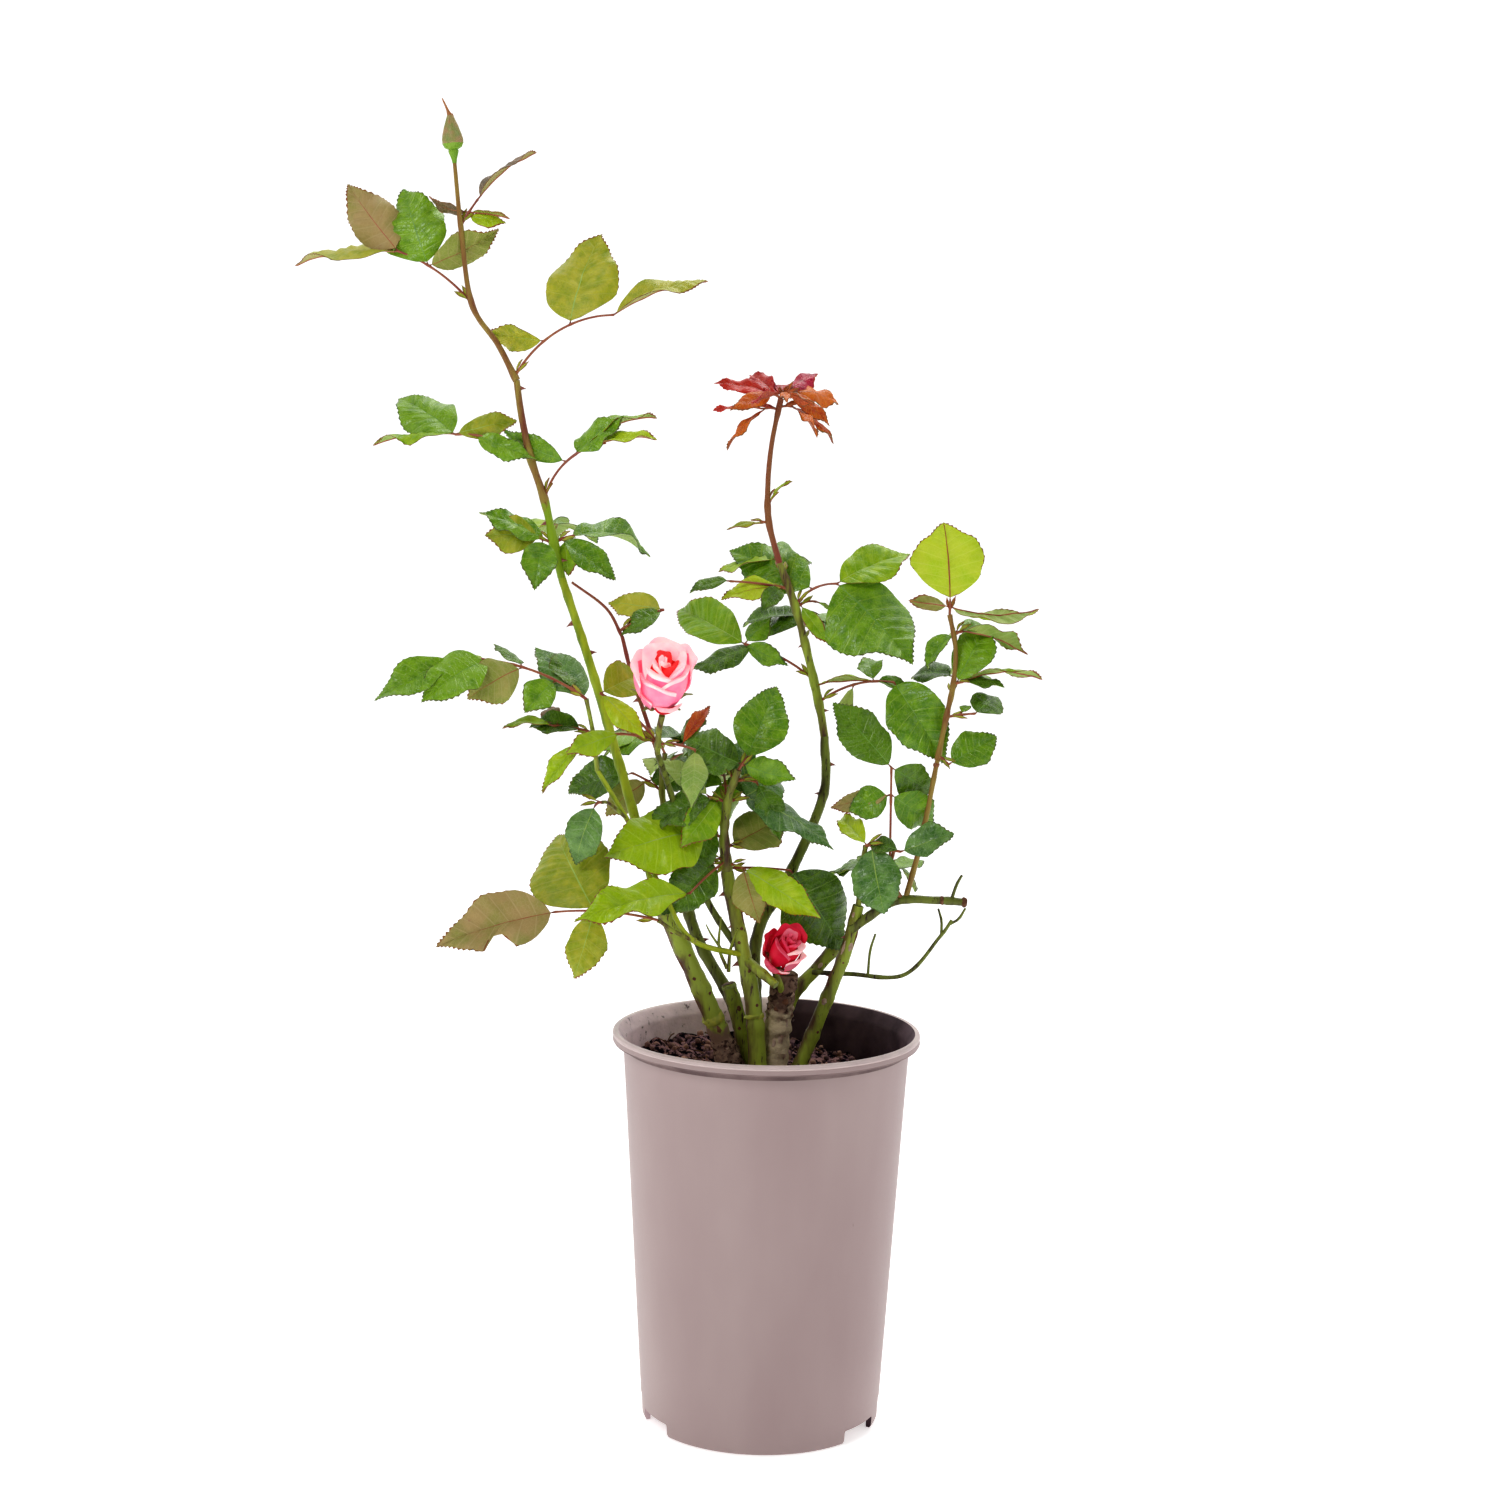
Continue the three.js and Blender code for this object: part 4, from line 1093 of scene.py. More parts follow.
@dataclass(frozen=True)
class Limb:
    """A cane or twig without leaves.

    Attributes:
        name: the CAD node that it replaces.
        route: the points of its middle line.
        radii: its radius at the foot and the tip.
        finish: its bark.
        flare: how much wider it is at its very foot.
        shoots: side shoots, each a route and its radii.
        cut: the finish of its cut end.
        prickles: what stands on it, each its place, compass direction and length.
        knots: how far its surface stands in and out.
        sleeves: ragged rings of bark, each its place, its length, how far it stands out and its finish.
        scars: patches on the bark, each its place, compass direction, length, half width and
            finish.
        slot: a material slot's name; not used.
    """

    name: str
    route: list
    radii: tuple
    finish: Finish
    flare: float = 0.0
    shoots: tuple = ()
    cut: Finish = CUT_PALE
    prickles: tuple = ()
    knots: float = 0.06
    sleeves: tuple = ()
    scars: tuple = ()
    slot: str = "green_cane"

    SIDES = 20
    SPACING = 2.2
    THICK_FROM = 2.4
    THIN_SIDES = 10
    THIN_SPACING = 3.0
    NODE_SPACING = 27.0

    def build(self) -> None:
        """Models the limb with bark, bud scars, prickles and a cut end."""
        skin = Skin()
        self.add_bar(skin, Route(self.route), self.radii, self.flare)
        for route, radii in self.shoots:
            self.add_bar(skin, Route(route), radii, 0)
        Thorns(Route(self.route), sum(self.radii) / 2).add_to(skin, self.prickles)
        for sleeve in self.sleeves:
            self.add_sleeve(skin, *sleeve)
        for scar in self.scars:
            self.add_scar(skin, *scar)
        hand_in(skin.build(f"{self.name}_bark"), self.name)

    def radius_at(self, at: float) -> float:
        """Gives the limb's radius at a share of the way."""
        return self.radii[0] + (self.radii[1] - self.radii[0]) * at + self.flare * (1 - at) ** 6

    def add_sleeve(self, skin: Skin, at: float, length: float, grow: float, finish: Finish) -> None:
        """Adds a ragged ring of bark.

        Args:
            skin: what it is added to.
            at: its place along the limb.
            length: how far it reaches along the limb.
            grow: how far it stands out.
            finish: its finish.
        """
        route = Route(self.route)
        middle, along = route.at(at), route.heading(at)
        radius = self.radius_at(at)
        steps = max(4, round(length / 2))
        shares = [k / steps - 0.5 for k in range(steps + 1)]
        points = [middle + along * length * share for share in shares]
        sunk, swell = radius * 0.88, grow + 0.12 * radius
        widths = [sunk + swell * math.cos(math.pi * share) ** 0.4 for share in shares]
        skin.bar(swept(points, widths, self.SIDES, 0.3, 3.0), finish)

    def add_scar(
        self, skin: Skin, at: float, azimuth: float, length: float, width: float, finish: Finish
    ) -> None:
        """Adds a low uneven patch on the bark.

        Args:
            skin: what it is added to.
            at: its place along the limb.
            azimuth: its compass direction.
            length: how far it reaches along the limb.
            width: half its width at its widest.
            finish: its finish.
        """
        route = Route(self.route)
        along = route.heading(at)
        outward = square_to(compass(azimuth), along)
        middle = route.at(at) + outward * (self.radius_at(at) - 0.5 * width)
        points = [middle + along * length * t for t in (-0.5, -0.3, 0, 0.3, 0.5)]
        widths = [0.15 * width, 0.7 * width, width, 0.65 * width, 0.15 * width]
        skin.bar(swept(points, widths, 9, 0.3, 1.6), finish)

    def add_bar(self, skin: Skin, route: Route, radii: tuple, flare: float) -> None:
        """Adds one bar with its nodes and its cut end.

        Args:
            skin: what it is added to.
            route: its middle line.
            radii: its radius at the foot and the tip.
            flare: how much wider it is at its very foot.
        """
        thick = radii[0] > self.THICK_FROM
        spacing = self.SPACING if thick else self.THIN_SPACING
        sides = self.SIDES if thick else self.THIN_SIDES
        points, _ = route.samples(spacing)
        last = len(points) - 1
        foot, tip = radii
        nodes = max(1, round(last * spacing / self.NODE_SPACING))
        widths = []
        for k in range(last + 1):
            t = k / last
            swell = 0.13 * math.exp(-(((t * nodes) % 1 - 0.6) * 9) ** 2)
            widths.append((foot + (tip - foot) * t + flare * (1 - t) ** 6) * (1 + swell))
        end = points[-1] + (points[-1] - points[-2]).normalized() * 0.1 * tip
        points += [end, end - (points[-1] - points[-2]).normalized() * 0.12 * tip]
        widths[-1] *= 0.96
        widths += [tip * 0.78, tip * 0.4]
        rings = swept(points, widths, sides, self.knots, 5.0)
        slots = np.full((len(points) - 1, 1), skin.slot(self.finish))
        slots[-2:] = skin.slot(self.cut)
        cut = int(slots[-1, 0])
        skin.tube(rings, slots, (cut, cut), bark_marks(rings, self.finish.sided))


LIMBS = [
    Limb("graft_stub", [[3, -2, CROWN_LEVEL], [7, -5, 250], [11, -10, 283]], (8.2, 7.4), WOOD, 2.5,
        cut=CUT_BROWN, knots=0.24, slot="old_wood", sleeves=((0.62, 9, 0.9, WOOD), (0.9, 7, 0.8, WOOD)),
        scars=((0.42, -70, 12, 2.2, FLAKE), (0.5, -50, 16, 1.8, FLAKE), (0.36, -100, 9, 1.6, FLAKE),
        (0.66, -110, 5, 2.4, SCAR), (0.74, -70, 6, 2.6, SCAR), (0.82, -40, 5, 2.0, FLAKE),
        (0.6, -20, 8, 2.2, SCAR), (0.88, -95, 6, 2.0, SCAR), (0.3, -40, 8, 1.6, FLAKE))),
    Limb("left_cane", [[-15, -5, CROWN_LEVEL], [-34, -14, 258], [-54, -23, 304], [-69, -30, 335]],
        (6.5, 4.8), FOOT_CANE, 1.5, prickles=((0.45, -170, 2.6), (0.7, 10, 2.4)),
        sleeves=((0.13, 34, 1.1, FOOT_BARK), (0.31, 7, 0.6, COLLAR)), scars=((0.27, -80, 8, 2.0, SCAR),
        (0.16, -110, 10, 2.2, SCAR), (0.12, -60, 9, 2.2, FLAKE), (0.5, -100, 3, 1.3, SCAR),
        (0.6, -60, 2.6, 1.1, SCAR), (0.42, -40, 3, 1.4, SCAR), (0.74, -110, 2.4, 1.0, SCAR),
        (0.96, -100, 9, 1.8, SCAR), (0.2, -70, 7, 1.6, FLAKE), (0.42, 196, 46, 1.5, SCAR),
        (0.62, 190, 30, 1.2, SCAR), (0.56, -150, 9, 1.0, SCAR))),
    Limb("middle_cane", [[-4, -14, CROWN_LEVEL], [-8, -14, 260], [-17, -15, 304], [-26, -10, 345]], (5.6, 4),
        OLD_CANE, 1, shoots=(([[-14, -15, 292], [-5, -26, 287], [5, -33, 280]], (3.2, 2.6)),),
        prickles=((0.56, 185, 5), (0.6, 150, 4), (0.82, 0, 5), (0.9, 190, 4.5), (0.74, 200, 3)),
        sleeves=((0.31, 4, 0.7, COLLAR),), scars=((0.52, -70, 3, 1.4, SCAR), (0.66, -100, 3, 1.3, SCAR),
        (0.36, -60, 2.6, 1.2, SCAR), (0.72, -60, 4, 1.4, SCAR), (0.8, -20, 26, 1.0, SCAR),
        (0.5, -8, 18, 1.0, SCAR))),
    Limb("right_cane", [[14, -2, CROWN_LEVEL], [34, -2, 258], [48, -2, 296], [55, -2, 324]], (4.6, 3.6),
        OLD_CANE, 1, prickles=((0.93, 0, 4.5), (0.5, 180, 3), (0.75, 200, 3)),
        scars=((0.38, -110, 6, 2.2, FLAKE), (0.46, -150, 3, 1.3, SCAR), (0.7, -60, 7, 1.8, FLAKE),
        (0.6, -80, 3, 1.1, SCAR), (0.25, -60, 3, 1.2, SCAR), (0.85, -90, 8, 1.5, SCAR),
        (0.93, -120, 5, 1.3, FLAKE), (0.5, 200, 20, 1.1, SCAR), (0.78, -30, 16, 1.1, SCAR),
        (0.68, -130, 12, 1.0, FLAKE))),
    Limb("dark_cane", [[-7, 14, CROWN_LEVEL], [-22, 17, 258], [-46, 24, 302], [-65, 30, 370]], (4, 3.2),
        DARK_CANE, prickles=((0.4, 10, 3), (0.62, 0, 4)), slot="dark_cane"),
    Limb("short_stub", [[-9, 2, CROWN_LEVEL], [-16, 2, 246], [-24, 2, 273]], (4.6, 4.4), OLD_CANE,
        shoots=(([[-24, -14, 284], [-23, -17, 298], [-19, -20, 312]], (1.3, 0.5)), ([[-25, -14, 286],
        [-30, -18, 300], [-29, -20, 319]], (1.2, 0.5)), ([[-29, -17, 299], [-35, -19, 308], [-38, -20, 314]],
        (0.9, 0.4))), cut=CUT_BROWN, sleeves=((0.97, 3, 0.5, CUT_PALE),), scars=((0.7, -60, 5, 1.6, SCAR),
        (0.5, -100, 4, 1.4, SCAR))),
    Limb("slant_cane", [[2, 12, CROWN_LEVEL], [14, 14, 258], [31, 16, 281], [46, 18, 298]], (4.2, 3.8),
        OLD_CANE, scars=((0.7, -90, 5, 1.5, FLAKE), (0.85, -60, 3, 1.3, SCAR))),
    Limb("whorl_cane", [[-1, 6, CROWN_LEVEL], [-7, 9, 262], [-6, 15, 304], [14, 23, 341], [33, 30, 388],
        [33, 33, 424]], (4.2, 2.7), DARK_CANE, prickles=((0.9, 0, 3.5), (0.8, 180, 3))),
    Limb("cut_branch", [[50, -4, 309], [76, -9, 328], [102, -12, 330], [120, -12, 329]], (2.9, 2.3),
        DARK_CANE, shoots=(([[111, -12, 330], [114, -13, 340], [117, -14, 346]], (1.1, 0.8)),),
        cut=CUT_BROWN, sleeves=((0.98, 3.5, 0.6, SCAR), (0.72, 2.4, 0.4, SCAR))),
    Limb("right_shoot", [[83, -10, 329], [92, -9, 366], [101, -4, 415]], (1.8, 1.5), TWIG_CANE,
        sleeves=((0.45, 3, 0.5, RED_CANE), (0.97, 3, 0.5, RED_CANE))),
    Limb("spent_twig", [[28, 12, 279], [51, 4, 280], [84, -1, 281], [105, -6, 306], [112, -8, 317]],
        (1.6, 1), DARK_CANE, shoots=(([[62, 3, 280], [63, 2, 295], [66, 1, 306]], (0.9, 0.7)),
        ([[106, -6, 308], [106, -4, 316], [104, -2, 323]], (0.9, 0.7)), ([[110, -7, 314], [116, -9, 318],
        [120, -10, 325]], (0.9, 0.7)))),
    Limb("tall_cane", [[-64, -22, 318], [-89, 4, 395], [-112, 10, 469], [-130, 14, 521]], (3.2, 2.5),
        LIME_CANE, prickles=((0.82, 185, 4.5), (0.7, 5, 4))),
    Limb("rose_cane", [[-20, -13, 300], [-40, -11, 332], [-57, -12, 382], [-68, -48, 422]], (2.2, 1.8),
        DARK_CANE, slot="dark_cane"),
    Limb("side_twig", [[-67, -46, 419], [-84, -26, 464], [-91, -18, 488]], (1.4, 1.2), RED_CANE,
        prickles=((0.35, 190, 3.5), (0.55, 10, 3)), slot="dark_cane"),
    Limb("left_shoot", [[-13, -15, 294], [-46, -38, 308], [-63, -38, 335], [-83, -20, 371],
        [-104, -40, 410]], (1.7, 1.4), LIME_CANE, prickles=((0.62, 190, 3),), sleeves=((0.7, 4, 0.6, SCAR),
        (0.24, 3, 0.4, COLLAR))),
]


@dataclass(frozen=True)
class Petal:
    """One petal, wrapped round the axis of its bloom.

    Attributes:
        azimuth: the direction that its middle faces, with the back of the bloom at 90.
        foot: the radius at its foot.
        rim: the radius at its rim.
        height: how high it reaches.
        span: how far it reaches round the axis, in degrees.
        flare: how far its rim rolls outward.
        inside: the finish of the inner side.
        outside: the finish of the outer side.
        edge: the finish of the rim.
        base: how far up the axis it springs.
        cup: how far it bulges on the way.
    """

    azimuth: float
    foot: float
    rim: float
    height: float
    span: float
    flare: float
    inside: Finish
    outside: Finish
    edge: Finish
    base: float = 1.0
    cup: float = 1.2

    ROWS = 18
    COLUMNS = 18
    EDGE_ROWS = 2
    SPIRAL = 1.4
    THICKNESS = 0.55
    RIM_THICKNESS = 0.4

    def add_to(self, skin: Skin, foot: Vector, upright: Matrix, dice: Dice) -> None:
        """Adds the petal, cupped and with a rolled rim.

        Args:
            skin: what it is added to.
            foot: the foot of the bloom.
            upright: turns the bloom's own axes into its place.
            dice: deals the waves of the rim.
        """
        t = np.linspace(0, 1, self.ROWS + 1)[:, None]
        a = np.linspace(-1, 1, self.COLUMNS + 1)[None, :]
        top = 1 - 0.24 * np.abs(a) ** 2.4 - 0.02 * np.cos(a * 7 + dice.between(0, 6))
        s = t * top
        widen = np.sin(np.clip(s * 1.25, 0, 1) * math.pi / 2) ** 0.7
        angle = np.radians(self.azimuth + dice.swing(6) + a * self.span / 2 * widen)
        bulge = self.cup * np.sin(np.pi * np.clip(s, 0, 1) ** 0.9)
        radius = self.foot + (self.rim - self.foot) * (s**0.8 + bulge * 0.35) + self.SPIRAL * a * s
        roll = np.clip((s - 0.74) / 0.26, 0, 1) ** 2
        radius = radius + self.flare * roll * (1 + 0.3 * np.cos(a * 4 + dice.between(0, 6)))
        rise = self.base + self.height * s - 0.5 * self.flare * roll**1.5
        rise = rise + 0.4 * np.sin(a * 6 + dice.between(0, 6)) * s
        rise = rise * np.ones_like(angle)
        local = np.stack([radius * np.cos(angle), radius * np.sin(angle), rise], -1)
        grid = local @ np.array(upright).T + np.array(foot)
        thickness = np.full(grid.shape[:2], self.THICKNESS)
        thickness[-1] = self.RIM_THICKNESS
        outer = np.full((self.ROWS, self.COLUMNS), skin.slot(self.outside))
        inner = np.full((self.ROWS, self.COLUMNS), skin.slot(self.inside))
        outer[-self.EDGE_ROWS :] = skin.slot(self.edge)
        inner[-self.EDGE_ROWS :] = skin.slot(self.edge)
        marks = np.stack([a + 0 * t, t + 0 * a, 0 * a * t], -1)
        skin.leaf_sheet(grid[:, ::-1], thickness, outer, inner, marks[:, ::-1])


@dataclass(frozen=True)
class Bloom:
    """A rose on the end of a stem.

    Attributes:
        axis: the way that it faces.
        shift: where its foot lies from the end of the stem.
        petals: the rows of its petals, from the heart outward.
        sepals: how many sepals hang under it.
        hip: the radius of its hip.
        sepal_length: how long a sepal is.
    """

    axis: tuple
    shift: tuple
    petals: tuple
    sepals: int = 5
    hip: float = 3.6
    sepal_length: float = 18.0

    HIP_SIDES = 12
    PETAL_SEED = 77
    SEPAL_SEED = 500
    CREASE = 60

    def build(self, name: str, end: Vector, node: str) -> None:
        """Models the petals, the hip and the sepals.

        Args:
            name: the piece's name.
            end: the end of the stem.
            node: the CAD node that the bloom belongs to.
        """
        skin = Skin()
        foot = end + Vector(self.shift)
        upright = Z_AXIS.rotation_difference(unit(Vector(self.axis))).to_matrix()
        for number, row in enumerate(self.petals):
            Petal(*row).add_to(skin, foot, upright, Dice(self.PETAL_SEED + number))
        self.add_hip(skin, foot, upright)
        for k in range(self.sepals):
            azimuth = 360 / self.sepals * k + 20
            self.add_sepal(skin, foot, upright, azimuth, Dice(self.SEPAL_SEED + k))
        hand_in(skin.build(name, self.CREASE), node)

    def add_hip(self, skin: Skin, foot: Vector, upright: Matrix) -> None:
        """Adds the green hip under the petals.

        Args:
            skin: what it is added to.
            foot: the foot of the bloom.
            upright: turns the bloom's own axes into its place.
        """
        neck, hip = 1.9, self.hip
        profile = [(neck, -3), (hip * 0.9, -0.5), (hip, 2), (hip * 0.95, 4.5), (hip * 0.6, 6)]
        rings = []
        for radius, rise in profile:
            turns = [2 * math.pi * k / self.HIP_SIDES for k in range(self.HIP_SIDES)]
            local = [Vector((radius * math.cos(a), radius * math.sin(a), rise)) for a in turns]
            rings.append([upright @ point + foot for point in local])
        skin.bar(np.array(rings, float), HIP)

    def add_sepal(self, skin: Skin, foot: Vector, upright: Matrix, azimuth: float, dice: Dice) -> None:
        """Adds one narrow sepal that bends away under the petals.

        Args:
            skin: what it is added to.
            foot: the foot of the bloom.
            upright: turns the bloom's own axes into its place.
            azimuth: the sepal's direction round the bloom's axis.
            dice: deals its length and its curl.
        """
        outward = upright @ compass(azimuth)
        up = upright @ Z_AXIS
        dress = LeafDress(SEPAL, SEPAL, SEPAL, SEPAL, SEPAL)
        start = foot + up * 3 + outward * self.hip * 0.5
        length = self.sepal_length * dice.between(0.8, 1.15)
        way = unit(outward * 0.9 + up * 0.5)
        blade = Blade(start, way, up, 0, length, 0.34, dice.between(-20, 70), dress)
        blade.add_to(skin, dice, SEPAL)


ROSE = Bloom(
    axis=(0.05, -0.6, 0.8),
    shift=(-0.6, 3.6, 4.4),
    hip=4.2,
    sepal_length=18,
    petals=(
        (30, 0.6, 1.6, 35, 220, 0.2, CORAL, PINK, BLUSH, 4),
        (150, 0.9, 2.2, 36, 210, 0.3, CORAL, PINK, BLUSH, 4),
        (270, 1.2, 3.0, 35, 200, 0.4, CORAL, CORAL, BLUSH, 4),
        (80, 2.5, 5.4, 37, 180, 0.6, CORAL, CORAL, CORAL, 3),
        (205, 2.8, 6.2, 35, 170, 0.7, CORAL, CORAL, BLUSH, 3),
        (325, 3.0, 7.0, 35, 170, 0.8, CORAL, CORAL, CORAL, 3),
        (120, 4.5, 11.0, 40, 200, 1.2, CORAL, PINK, BLUSH, 2),
        (240, 4.4, 10.8, 34, 170, 1.2, CORAL, PINK, BLUSH, 2),
        (0, 4.6, 11.6, 37, 160, 1.4, CORAL, PINK, BLUSH, 2),
        (85, 4.5, 14.0, 40, 130, 3.8, PINK, PINK, BLUSH, 1),
        (-25, 4.5, 13.2, 33, 140, 1.5, PINK, PINK, BLUSH, 1),
        (-120, 4.5, 13.2, 29, 140, 1.8, PINK, PINK, BLUSH, 1),
        (165, 4.5, 16.0, 36, 110, 3.5, PINK, PINK, BLUSH, 1),
        (30, 4.5, 16.5, 38, 90, 4.0, PINK, PINK, BLUSH, 1),
        (-150, 5.0, 13.0, 19, 70, 3.5, PINK, PINK, BLUSH, 0),
        (-72, 6.0, 13.0, 14, 84, 5.0, CRIMSON, CRIMSON, BLUSH, 0, 0.6),
    ),
)
RED_BLOOM = Bloom(
    axis=(0.35, -0.55, 0.76),
    shift=(0, 2.4, 2.4),
    hip=3.4,
    sepal_length=9,
    petals=(
        (30, 0.5, 1.6, 26, 220, 0.2, CRIMSON, CRIMSON, ROSY, 3),
        (150, 0.8, 2.0, 27, 210, 0.3, CRIMSON, CRIMSON, ROSY, 3),
        (270, 1.0, 2.4, 26, 200, 0.4, CRIMSON, CRIMSON, ROSY, 3),
        (80, 2.0, 4.4, 28, 180, 0.8, CRIMSON, CRIMSON, ROSY, 2),
        (205, 2.2, 4.8, 26, 170, 0.8, CRIMSON, CRIMSON, ROSY, 2),
        (325, 2.4, 5.2, 26, 170, 0.8, CRIMSON, CRIMSON, ROSY, 2),
        (95, 3.0, 8.0, 28, 150, 1.8, CRIMSON, CRIMSON, CRIMSON, 1),
        (220, 3.0, 8.0, 24, 150, 1.4, CRIMSON, CRIMSON, ROSY, 1),
        (340, 3.0, 8.4, 24, 150, 1.6, CRIMSON, CRIMSON, BLUSH, 1),
        (65, 3.5, 11.0, 28, 96, 2.6, CRIMSON, CRIMSON, CRIMSON, 1),
        (165, 3.5, 12.0, 22, 90, 2.6, CRIMSON, CRIMSON, CRIMSON, 1),
        (-20, 3.5, 11.0, 20, 100, 2.4, CRIMSON, ROSY, BLUSH, 0),
        (-125, 4.0, 10.5, 12, 66, 2.0, ROSY, ROSY, ROSY, 0),
        (-75, 4.4, 10.0, 9, 60, 2.2, ROSY, CRIMSON, BLUSH, 0, 0.7),
    ),
)


@dataclass(frozen=True)
class Mass:
    """A mass of foliage: the stem that goes on from a limb, and its leaves.

    Attributes:
        name: the CAD node that it replaces.
        source: the limb or mass whose line its stem goes on from.
        seed: the seed of its first leaf.
        route: the stem's further points.
        radii: the stem's radius at its foot and tip.
        leaves: its leaves, which take the seeds that follow in turn.
        side: the share of the source's line where it springs, or the tip.
        bark: the stem's finish.
        stalk: the leaf stalks' finish.
        bloom: the rose on its end, if there is one.
        bud: whether a closed bud stands on its end.
        prickles: the prickles of its stem.
        slot: a material slot's name, which only gives the stipules the leaf's first tone when it is
            red_foliage.
    """

    name: str
    source: str
    seed: int
    route: list
    radii: tuple
    leaves: tuple
    side: float = 1.0
    bark: Finish = OLD_CANE
    stalk: Finish = RED_STALK
    bloom: Bloom | None = None
    bud: bool = False
    prickles: tuple = ()
    slot: str = "foliage"

    STEM_SPACING = 2.4
    STEM_SIDES = 12
    STALK_SPACING = 2.6
    STALK_SIDES = 7
    MOST_SWELL = 0.35
    SHAPE_SEED = 5000
    BUD_SEED = 400
    BUD_SIDES = 40
    BUD_PROFILE = (
        (1.3, -1.5), (1.7, 1), (2.6, 3.6), (3.2, 5.6), (2.9, 6.6), (5.2, 7.8), (6.5, 10.2), (6.6, 12.6),
        (5.8, 16), (4.5, 20), (3.0, 24), (1.8, 27), (1.0, 29.6), (0.7, 32.5), (0.6, 35), (0.35, 37.4),
    )
    BUD_SEPALS = ((15, 20, 6), (140, 21, 5.5), (260, 19, 5))

    def build(self, routes: dict[str, Route]) -> None:
        """Grows the mass.

        Args:
            routes: the lines of the limbs and masses made so far, to which its own is added.
        """
        start = routes[self.source].at(self.side)
        stem = Route([start, *self.route])
        routes[self.name] = stem
        twigs, blades = Skin(), Skin()
        self.add_stem(twigs, stem)
        for number, leaf in enumerate(self.leaves):
            self.add_leaf(twigs, blades, stem, leaf, self.seed + number)
        if self.bud:
            self.add_bud(twigs, stem)
        if self.bloom:
            self.bloom.build(f"{self.name}_petals", stem.at(1), self.name)
        hand_in(twigs.build(f"{self.name}_twigs"), self.name)
        if self.leaves:
            hand_in(blades.build(f"{self.name}_blades"), self.name)

    def add_stem(self, skin: Skin, stem: Route) -> None:
        """Adds the stem with a swelling where each leaf springs.

        Args:
            skin: what it is added to.
            stem: the line of the stem.
        """
        points, shares = stem.samples(self.STEM_SPACING)
        foot, tip = self.radii
        spots = [leaf.at / (len(stem.points) - 1) for leaf in self.leaves]
        widths = []
        for share in shares:
            swell = sum(0.28 * math.exp(-(((share - spot) * 22) ** 2)) for spot in spots)
            widths.append((foot + (tip - foot) * share) * (1 + min(self.MOST_SWELL, swell)))
        skin.bar(swept(points, widths, self.STEM_SIDES, 0.05, 4), self.bark)
        Thorns(stem, sum(self.radii) / 2).add_to(skin, self.prickles)

    def add_leaf(self, twigs: Skin, blades: Skin, stem: Route, leaf: Leaf, seed: int) -> None:
        """Adds one leaf by the rule of the part's source, with its stalk and stipules.

        Args:
            twigs: takes the stalk.
            blades: takes the leaflets.
            stem: the line of the stem.
            leaf: the leaf's row.
            seed: the leaf's seed.
        """
        foot = stem.at(leaf.at / (len(stem.points) - 1))
        frames = leaf.frames(foot)
        points, shares = Route([place for place, _, _ in frames]).samples(self.STALK_SPACING)
        joints = [row[0] for row in leaf.leaflets()]
        widths = []
        for share in shares:
            knuckle = sum(0.3 * math.exp(-(((share - joint) * leaf.reach / 1.6) ** 2)) for joint in joints)
            widths.append((0.85 - 0.2 * share) * (1 + min(self.MOST_SWELL, knuckle)))
        twigs.bar(swept(points, widths, self.STALK_SIDES), self.stalk)
        dice, shape = Dice(seed), Dice(seed + self.SHAPE_SEED)
        for number, (along, turn, lift, share, *rest) in enumerate(leaf.leaflets()):
            lean, width, bite = rest + [0, LEAF_WIDTH, 0.0][len(rest) :]
            place, tangent, upper = frames[int(along * STALK_STEPS + 0.5)]
            turned = rotated(tangent, upper, turn + dice.swing(6))
            out = rotated(turned, unit(upper.cross(turned)), -(lift + dice.swing(8)))
            blade = Blade(
                place,
                out,
                upper,
                lean + dice.swing(12),
                leaf.size * share * (1 + dice.swing(0.05)),
                width + dice.swing(0.05),
                LEAF_CURL + dice.swing(16),
                leaf.tones[number % len(leaf.tones)].value,
                bite=bite,
            )
            blade.add_to(blades, shape, self.stalk)
        wings = leaf.tones[0] if self.slot == "red_foliage" else Tone.OLIVE
        self.add_stipules(blades, frames, wings.value, shape)

    def add_stipules(self, skin: Skin, frames: list, dress: LeafDress, dice: Dice) -> None:
        """Adds the two narrow wings at the foot of a leaf stalk.

        Args:
            skin: what they are added to.
            frames: the stalk's points, each with its direction and its upper side.
            dress: the wings' finishes.
            dice: deals their lengths and shapes.
        """
        place, tangent, upper = frames[0]
        start = place + tangent * sum(self.radii) / 2
        for turn in (-16, 16):
            out = rotated(tangent, upper, turn)
            blade = Blade(start, out, upper, 0, dice.between(7, 10), 0.3, 10, dress, 20, 0.3)
            blade.add_to(skin, dice, self.stalk)

